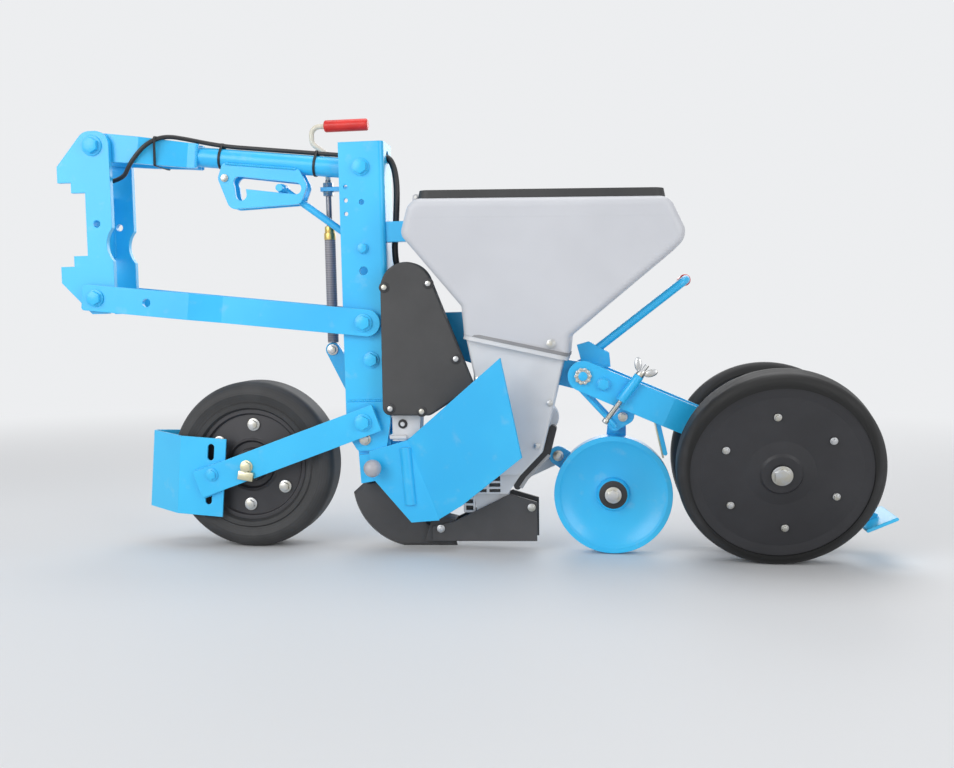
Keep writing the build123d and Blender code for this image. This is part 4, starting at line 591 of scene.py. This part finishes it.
# Chain guard: a flat moulded cover in dark grey over the drive chain, held by five screws in sunk wells.
# Black discs fill the wells round the plated heads, as painted shade.
guard_grey = moulded("guard_grey", (0.042, 0.042, 0.043, 1), (0.056, 0.056, 0.057, 1), roughness=0.5,
                     grain=560.0, grain_strength=0.3)
coat_nodes(guard_grey, "chain_guard")
GUARD_FACE_Y, WELL_R, SCREW_R = -0.0745, 0.0100, 0.0053
WELL_BACK_Y, WELL_FRONT_Y, SCREW_FRONT_Y = GUARD_FACE_Y + 0.004, GUARD_FACE_Y - 0.0008, GUARD_FACE_Y - 0.0042
bm, heads = bmesh.new(), bmesh.new()
for x, z in ((-0.407, 0.503), (-0.325, 0.508), (-0.277, 0.369), (-0.343, 0.273), (-0.402, 0.279)):
    # A black disc in each well is painted shade.
    cross_bar(bm, x, z, WELL_BACK_Y, WELL_FRONT_Y, WELL_R, sides=32, chamfer=0.0006)
    cross_bar(heads, x, z, GUARD_FACE_Y, SCREW_FRONT_Y, SCREW_R, chamfer=0.0016)
piece("guard_well_shade_discs", bm, black_plastic, "row_frame")
piece("guard_screws", heads, zinc, "row_frame")


# Rear beam and closing arms: flat steel on one pivot pin with plated ring nuts, sprayed azure. The closing
# wheels are smooth rubber tyres on flat moulded discs, each bolted up with six screws and held on a leaning
# stub axle by a plated bolt.
coat_nodes(azure, "rear_beam", "closing_arms", "closing_scraper")
disc_grey = moulded("disc_charcoal", (0.018, 0.018, 0.021, 1), (0.027, 0.027, 0.031, 1), roughness=0.42,
                    grain=520.0, grain_strength=0.2, highlight_share=0.2)
HUB_X, HUB_Y, HUB_Z, CAMBER = 0.297, 0.092, 0.166, math.radians(15)
DISC_FACE, COLLAR_ROOT, STUB_ROOT, STUB_END = 0.024, -0.030, -0.058, 0.034
for side, name in zip(SIDES, ("near", "far")):
    rubber = turned_rubber(
        f"closing_rubber_{name}", pins[f"closing_wheel_{name}_roll"], lean=-side * CAMBER,
        dark=(0.022, 0.022, 0.023, 1), pale=(0.044, 0.044, 0.046, 1), ring_gap=0.006, groove=0.159)
    coat_nodes(rubber, f"closing_tyre_{name}")
    coat_nodes(disc_grey, f"closing_disc_{name}")
    hub = Matrix.Translation((HUB_X, side * HUB_Y, HUB_Z))
    wheel = upright @ hub @ Matrix.Rotation(-side * CAMBER, 4, "X")
    bm = bmesh.new()
    for x, z in bolt_circle(x=0, z=0, radius=0.105, first=95, step=60):
        hex_head(bm, (x, side * DISC_FACE, z), (0, side, 0), flats=0.0092, height=0.0045, washer=0.0068)
    piece(f"closing_disc_bolts_{name}", bm, zinc, f"closing_wheel_{name}", wheel)
    bm = bmesh.new()
    cross_bar(bm, 0, 0, side * STUB_ROOT, side * STUB_END, radius=0.010, sides=32)
    cross_bar(bm, 0, 0, side * COLLAR_ROOT, -side * DISC_FACE, radius=0.018, sides=32, chamfer=0.001)
    hex_head(bm, (0, side * STUB_END, 0), (0, side, 0), flats=0.026, height=0.0065, washer=0.0185)
    stub = piece(f"closing_stub_{name}", bm, zinc, "row_frame", wheel)
    if name == "near":
        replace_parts(stub, "closing_stubs")
CLOSING_PIVOT_X, CLOSING_PIVOT_Z, CLOSING_ARM_OUT = -0.046, 0.332, 0.056
NUT_FACE, LOBE_FACE, CAP_FACE, NUT_RING_R, LOBE_R, CAP_R = 0.0605, 0.0632, 0.0645, 0.0146, 0.0029, 0.0086
bm, caps = bmesh.new(), bmesh.new()
cross_bar(bm, CLOSING_PIVOT_X, CLOSING_PIVOT_Z, -CLOSING_ARM_OUT, CLOSING_ARM_OUT, radius=0.012)
lobes = bolt_circle(CLOSING_PIVOT_X, CLOSING_PIVOT_Z, radius=0.0131, first=0, step=36, count=10)
for side in SIDES:
    face = side * CLOSING_ARM_OUT
    cross_bar(bm, CLOSING_PIVOT_X, CLOSING_PIVOT_Z, face, side * NUT_FACE, NUT_RING_R,
              sides=40, chamfer=0.0008)
    for x, z in lobes:
        cross_bar(bm, x, z, face, side * LOBE_FACE, LOBE_R, sides=14, chamfer=0.0008)
    cross_bar(caps, CLOSING_PIVOT_X, CLOSING_PIVOT_Z, face, side * CAP_FACE, CAP_R, sides=32, chamfer=0.002)
head_pair(caps, x=-0.009, out=CLOSING_ARM_OUT, z=0.317, flats=0.019, height=0.008, washer=0.0125)
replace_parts(piece("closing_ring_nuts", bm, zinc, "row_frame"), "closing_pivot_bolt")
piece("closing_arm_bolts", caps, azure, "row_frame")


# Seed press wheel: a dished steel wheel in azure with a sealed bearing, on a leg and a trailing arm behind
# it, with two pull rods up to the pivot tube, and an azure scraper bar with a plated strip on its front.
coat_nodes(azure, "press_wheel", "press_leg", "press_rods", "press_scraper")
PRESS_X, PRESS_Z, LEG_IN, LEG_OUT = 0.005, 0.107, 0.026, 0.034
bm = bmesh.new()
cross_bar(bm, PRESS_X, PRESS_Z, start=-0.0172, end=-0.0186, radius=0.0262, sides=40, chamfer=0.0005)
piece("press_bearing_seal", bm, black_plastic, "press_wheel")
bm = bmesh.new()
cross_bar(bm, PRESS_X, PRESS_Z, start=-0.022, end=LEG_OUT, radius=0.009)
hex_head(bm, (PRESS_X, -0.0206, PRESS_Z), NEAR, flats=0.019, height=0.0065, washer=0.0155)
cross_bar(bm, PRESS_X, PRESS_Z, start=0.0194, end=LEG_IN, radius=0.017)
hex_head(bm, (PRESS_X, LEG_OUT, PRESS_Z), FAR, flats=0.022, height=0.007, washer=0.0165, thread=0.002)
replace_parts(piece("press_axle_bolt", bm, zinc, "row_frame"), "press_axle")
bm = bmesh.new()
for y, axis in ((LEG_IN, NEAR), (0.0403, FAR)):
    hex_head(bm, (-0.098, y, 0.176), axis, flats=0.013, height=0.006, washer=0.0105)
hex_head(bm, (0.025, -0.026, 0.254), NEAR, flats=0.012, height=0.005, washer=0.009)
piece("press_arm_bolts", bm, zinc, "row_frame")
scraper_top, scraper_tip = Vector((0.082, 0, 0.276)), Vector((0.102, 0, 0.184))
down = (scraper_tip - scraper_top).normalized()
forward = Vector((down.z, 0, -down.x))
STRIP_AHEAD, STRIP_LOWER = 0.0055, 0.009
strip_mid = (scraper_top + scraper_tip) / 2 + forward * STRIP_AHEAD + down * STRIP_LOWER
bm = bmesh.new()
block(bm, strip_mid, size=(0.003, 0.032, 0.092), turn=math.atan2(down.x, down.z), bevel=0.0008)
piece("press_scraper_strip", bm, yellow_zinc, "row_frame")


# Pressure lever and adjuster: an azure lever in a folded quadrant, and beside the near arm a sleeve with a
# plated threaded rod through it, set by a wing nut at the top.
coat_nodes(azure, "lever_quadrant", "pressure_lever")
ADJUSTER_Y = -0.065
foot, head = Vector((-0.009, ADJUSTER_Y, 0.2466)), Vector((0.072, ADJUSTER_Y, 0.3532))
rise = (head - foot).normalized()
wide = Vector((rise.z, 0, -rise.x))
SLEEVE_FROM, SLEEVE_TO, WING_NUT_TO = 0.050, 0.1065, 0.1185
bm = bmesh.new()
bar(bm, foot + rise * SLEEVE_FROM, foot + rise * SLEEVE_TO, radius=0.009, chamfer=0.001)
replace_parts(piece("adjuster_sleeve", bm, azure, "row_frame"), "pressure_adjuster")
ROD_FROM, ROD_SHORT, ROD_FOOT = 0.006, 0.003, 0.009
THREADS, THREAD_FROM, THREAD_PITCH, THREAD_THICK = 28, 0.012, 0.0015, 0.0008
EAR_AT, EAR_OUT, EAR_SPREAD, EAR_SIZE = 0.1225, 0.0140, 0.78, (0.0026, 0.0068, 0.0128)
bm = bmesh.new()
bar(bm, foot + rise * ROD_FROM, head - rise * ROD_SHORT, radius=0.0042, sides=20, chamfer=0.0008)
bar(bm, foot, foot + rise * ROD_FOOT, radius=0.006, sides=20, chamfer=0.002)
for step in range(THREADS):
    at = foot + rise * (THREAD_FROM + THREAD_PITCH * step)
    bar(bm, at, at + rise * THREAD_THICK, radius=0.0048, sides=16)
bar(bm, foot + rise * SLEEVE_TO, foot + rise * WING_NUT_TO, radius=0.0085, tip=0.0065,
    sides=24, chamfer=0.001)
for side in SIDES:
    centre = foot + rise * EAR_AT + wide * (side * EAR_OUT)
    lean = (rise + wide * (side * EAR_SPREAD)).to_track_quat("Z", "Y").to_matrix().to_4x4()
    ear = Matrix.Translation(centre) @ lean @ Matrix.Diagonal((*EAR_SIZE, 1))
    bmesh.ops.create_uvsphere(bm, u_segments=20, v_segments=12, radius=1.0, matrix=ear)
piece("wing_nut", bm, zinc, "row_frame")


# Sensor lead: a black sheathed cable, tied along the upper link by three nylon ties and run into the top of
# the column, then down behind it to its plug. A short free stretch joins the two inside the column.
lead_black = moulded("lead_sheath", (0.012, 0.012, 0.013, 1), (0.022, 0.022, 0.023, 1), roughness=0.38,
                     grain=900.0, grain_strength=0.15)
coat_nodes(lead_black, "lead_plug")


def sheath(name, points, radius, place):
    """A length of cable on a smooth line near its points, as one mesh."""
    route = bpy.data.curves.new(name, "CURVE")
    route.dimensions = "3D"
    route.bevel_depth, route.bevel_resolution, route.use_fill_caps = radius, 5, True
    spline = route.splines.new("NURBS")
    spline.points.add(len(points) - 1)
    for point, at in zip(spline.points, points):
        point.co = (*(place @ Vector(at)), 1)
    spline.order_u, spline.use_endpoint_u = 3, True
    holder = bpy.data.objects.new(name + "_route", route)
    bpy.context.scene.collection.objects.link(holder)
    bpy.context.view_layer.update()
    shaped = holder.evaluated_get(bpy.context.evaluated_depsgraph_get())
    made = bpy.data.objects.new(name, bpy.data.meshes.new_from_object(shaped))
    bpy.data.objects.remove(holder)
    bpy.context.scene.collection.objects.link(made)
    made.data.materials.clear()
    made.data.materials.append(lead_black)
    made.data.shade_smooth()
    return made


LEAD_R, SHEATH_R, LEAD_Y, LEAD_Z = 0.0042, 0.006, -0.003, 0.0235
LINK_LENGTH = math.hypot(LINK_RISE, LINK_RUN)
along_link = [Vector((x - LINK_LENGTH, y, z)) for x, y, z in (
    (0.014, -0.014, -0.064), (0.056, -0.032, -0.057), (0.073, -0.0475, -0.031), (0.086, -0.048, -0.010),
    (0.101, -0.048, 0.008), (0.118, -0.0412, 0.023), (0.140, -0.0305, 0.0315), (0.170, -0.0155, 0.0305),
    (0.208, -0.006, 0.0265), (0.250, LEAD_Y, LEAD_Z), (0.300, LEAD_Y, LEAD_Z),
    (LINK_LENGTH - 0.018, LEAD_Y, LEAD_Z))]
upper_lead = sheath("lead_along_link", along_link, LEAD_R, link)
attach(upper_lead, "upper_link")
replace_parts(upper_lead, "lead_on_link")
plug_end, plug_back = along_link[0], (along_link[0] - along_link[1]).normalized()
PLUG_LENGTH, PLUG_RIB = 0.026, 0.002
bm = bmesh.new()
bar(bm, plug_end, plug_end + plug_back * PLUG_LENGTH, radius=0.007, sides=24, chamfer=0.0012)
for step in (0.005, 0.010, 0.015):
    rib = plug_end + plug_back * step
    bar(bm, rib, rib + plug_back * PLUG_RIB, radius=0.0076)
piece("lead_front_plug", bm, lead_black, "upper_link", link)
down_column = (
    (-0.430, 0, 0.757), (-0.411, 0, 0.753), (-0.398, -0.001, 0.738), (-0.391, -0.004, 0.700),
    (-0.394, -0.004, 0.640), (-0.401, -0.004, 0.560), (-0.388, 0.014, 0.512), (-0.384, 0.020, 0.498),
    (-0.384, 0.020, 0.480))
row_lead = sheath("lead_down_column", down_column, SHEATH_R, upright)
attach(row_lead, "row_frame")
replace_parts(row_lead, "lead_on_row")
BEND_FROM_X, BEND_RISE = -0.0185, 0.0012
bend_start = upright.inverted() @ link @ Vector((BEND_FROM_X, LEAD_Y, LEAD_Z))
bend_end = Vector((-0.4290, 0, 0.7568))
bend_points = [bend_start.lerp(bend_end, share) + Vector((0, 0, BEND_RISE * math.sin(math.pi * share)))
               for share in (0, 0.35, 0.7, 1)]
bend = sheath("lead_bend", bend_points, LEAD_R, upright)
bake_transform(bend)
TIE_WIDTH, TIE_THICK, TIE_STEPS, BUCKLE_SIZE = 0.0046, 0.0012, 48, (0.0066, 0.0064, 0.0036)
TUBE_BUCKLE, TUBE_BUCKLE_LEAN = (0.0052, 0.0236), -52
over_tube = ((0, 0, 0.0193), (LEAD_Y, LEAD_Z, 0.0045))  # circles that a tie is pulled round: y, z, radius
fork_corners = tuple((y, z, 0.0022) for y in (-0.0325, 0.0325) for z in (-0.0235, 0.0235))
over_fork = fork_corners + ((-0.0407, 0.0228, 0.0048),)
bm = bmesh.new()
for x, circles, buckle, buckle_lean in (
    (-0.405, over_fork, (-0.010, 0.0285), -2),
    (-0.2855, over_tube, TUBE_BUCKLE, TUBE_BUCKLE_LEAN),
    (-0.0985, over_tube, TUBE_BUCKLE, TUBE_BUCKLE_LEAN),
):
    loop = []
    for step in range(TIE_STEPS):
        out = Vector((math.cos(math.tau * step / TIE_STEPS), math.sin(math.tau * step / TIE_STEPS)))
        y, z, radius = max(circles, key=lambda circle: out.dot(circle[:2]) + circle[2])
        loop.append(bm.verts.new((x, y + out.x * radius, z + out.y * radius)))
    edges = [bm.edges.new((loop[step - 1], loop[step])) for step in range(TIE_STEPS)]
    band = bmesh.ops.extrude_edge_only(bm, edges=edges)["geom"]
    far_loop = [vert for vert in band if isinstance(vert, bmesh.types.BMVert)]
    bmesh.ops.translate(bm, vec=(TIE_WIDTH, 0, 0), verts=far_loop)
    turn = Matrix.Rotation(math.radians(buckle_lean), 4, "X")
    place = Matrix.Translation((x + TIE_WIDTH / 2, *buckle)) @ turn @ Matrix.Diagonal((*BUCKLE_SIZE, 1))
    bmesh.ops.create_cube(bm, size=1.0, matrix=place)
ties = piece("cable_ties", bm, lead_black, "upper_link", link)
wall = ties.modifiers.new("wall", "SOLIDIFY")
wall.thickness, wall.offset = TIE_THICK, 1.0


# Studio: a pale floor that runs out of sight, soft lamps above and on both sides, and a camera at the
# height and distance that the perspective of the photograph gives.
BACKDROP, FLOOR_R = (0.845, 0.855, 0.87, 1), 9.0
floor_material, where = start_finish("studio_floor")
distance = where.node("ShaderNodeVectorMath", {0: where}, out="Value", operation="LENGTH")
near_floor = where.node("ShaderNodeBsdfPrincipled", {
    "Base Color": (0.78, 0.785, 0.795, 1), "Roughness": 0.6, "Specular IOR Level": 0.2})
far_floor = where.node("ShaderNodeEmission", {"Color": BACKDROP})
faded = where.node("ShaderNodeMixShader", {0: distance.ease(low=1.2, high=3.4), 1: near_floor, 2: far_floor})
where.node("ShaderNodeOutputMaterial", {"Surface": faded})
bm = bmesh.new()
bmesh.ops.create_circle(bm, cap_ends=True, segments=64, radius=FLOOR_R)
floor_mesh = bpy.data.meshes.new("studio_floor")
bm.to_mesh(floor_mesh)
bm.free()
floor_mesh.materials.append(floor_material)
floor = bpy.data.objects.new("studio_floor", floor_mesh)
bpy.context.scene.collection.objects.link(floor)
world = bpy.data.worlds.new("studio")
bpy.context.scene.world = world
world.use_nodes = True
world.node_tree.nodes.clear()
sky = Wire(world.node_tree)
camera_ray = sky.node("ShaderNodeLightPath", out="Is Camera Ray")
gloss_ray = sky.node("ShaderNodeLightPath", out="Is Glossy Ray")
clear_ray = sky.node("ShaderNodeLightPath", out="Is Transmission Ray")
shown = sky.maths("MAXIMUM", sky.maths("MAXIMUM", camera_ray, gloss_ray), clear_ray)
ambient = sky.node("ShaderNodeBackground", {"Color": (0.92, 0.94, 0.97, 1), "Strength": 0.34})
backdrop = sky.node("ShaderNodeBackground", {"Color": BACKDROP})
lit = sky.node("ShaderNodeMixShader", {0: shown, 1: ambient, 2: backdrop})
sky.node("ShaderNodeOutputWorld", {"Surface": lit})
for name, place, aim, size, power in (
    ("key", (-2.2, -3.1, 1.8), (-0.1, 0.0, 0.45), 2.8, 74.0),
    ("fill", (2.6, -2.4, 1.3), (0.1, 0.0, 0.4), 2.2, 34.0),
    ("top", (0.2, 0.3, 3.2), (0.0, 0.0, 0.3), 2.6, 38.0),
    ("rim", (0.4, 3.0, 1.8), (0.0, 0.0, 0.5), 2.4, 30.0),
):
    lamp = bpy.data.lights.new(name, "AREA")
    lamp.shape, lamp.size, lamp.energy = "DISK", size, power
    holder = bpy.data.objects.new(name, lamp)
    holder.location = place
    holder.rotation_euler = (Vector(aim) - Vector(place)).to_track_quat("-Z", "Y").to_euler()
    bpy.context.scene.collection.objects.link(holder)
camera = bpy.data.cameras.new("camera")
FOCAL_PX, PICTURE_WIDTH_PX, HORIZON_PX, CAMERA_AT = 1100.0, 954.0, 71.0, (0.0108, -2.070, 0.4459)
camera.sensor_width = 36.0
camera.lens = camera.sensor_width * FOCAL_PX / PICTURE_WIDTH_PX
viewpoint = bpy.data.objects.new("camera", camera)
viewpoint.location = upright @ Vector(CAMERA_AT)
YAW, DIP = math.radians(7.05), math.atan(HORIZON_PX / FOCAL_PX)
look = Vector((-math.sin(YAW) * math.cos(DIP), math.cos(YAW) * math.cos(DIP), -math.sin(DIP)))
viewpoint.rotation_euler = look.to_track_quat("-Z", "Y").to_euler()
bpy.context.scene.collection.objects.link(viewpoint)
bpy.context.scene.camera = viewpoint
bpy.context.scene.view_settings.view_transform = "Standard"
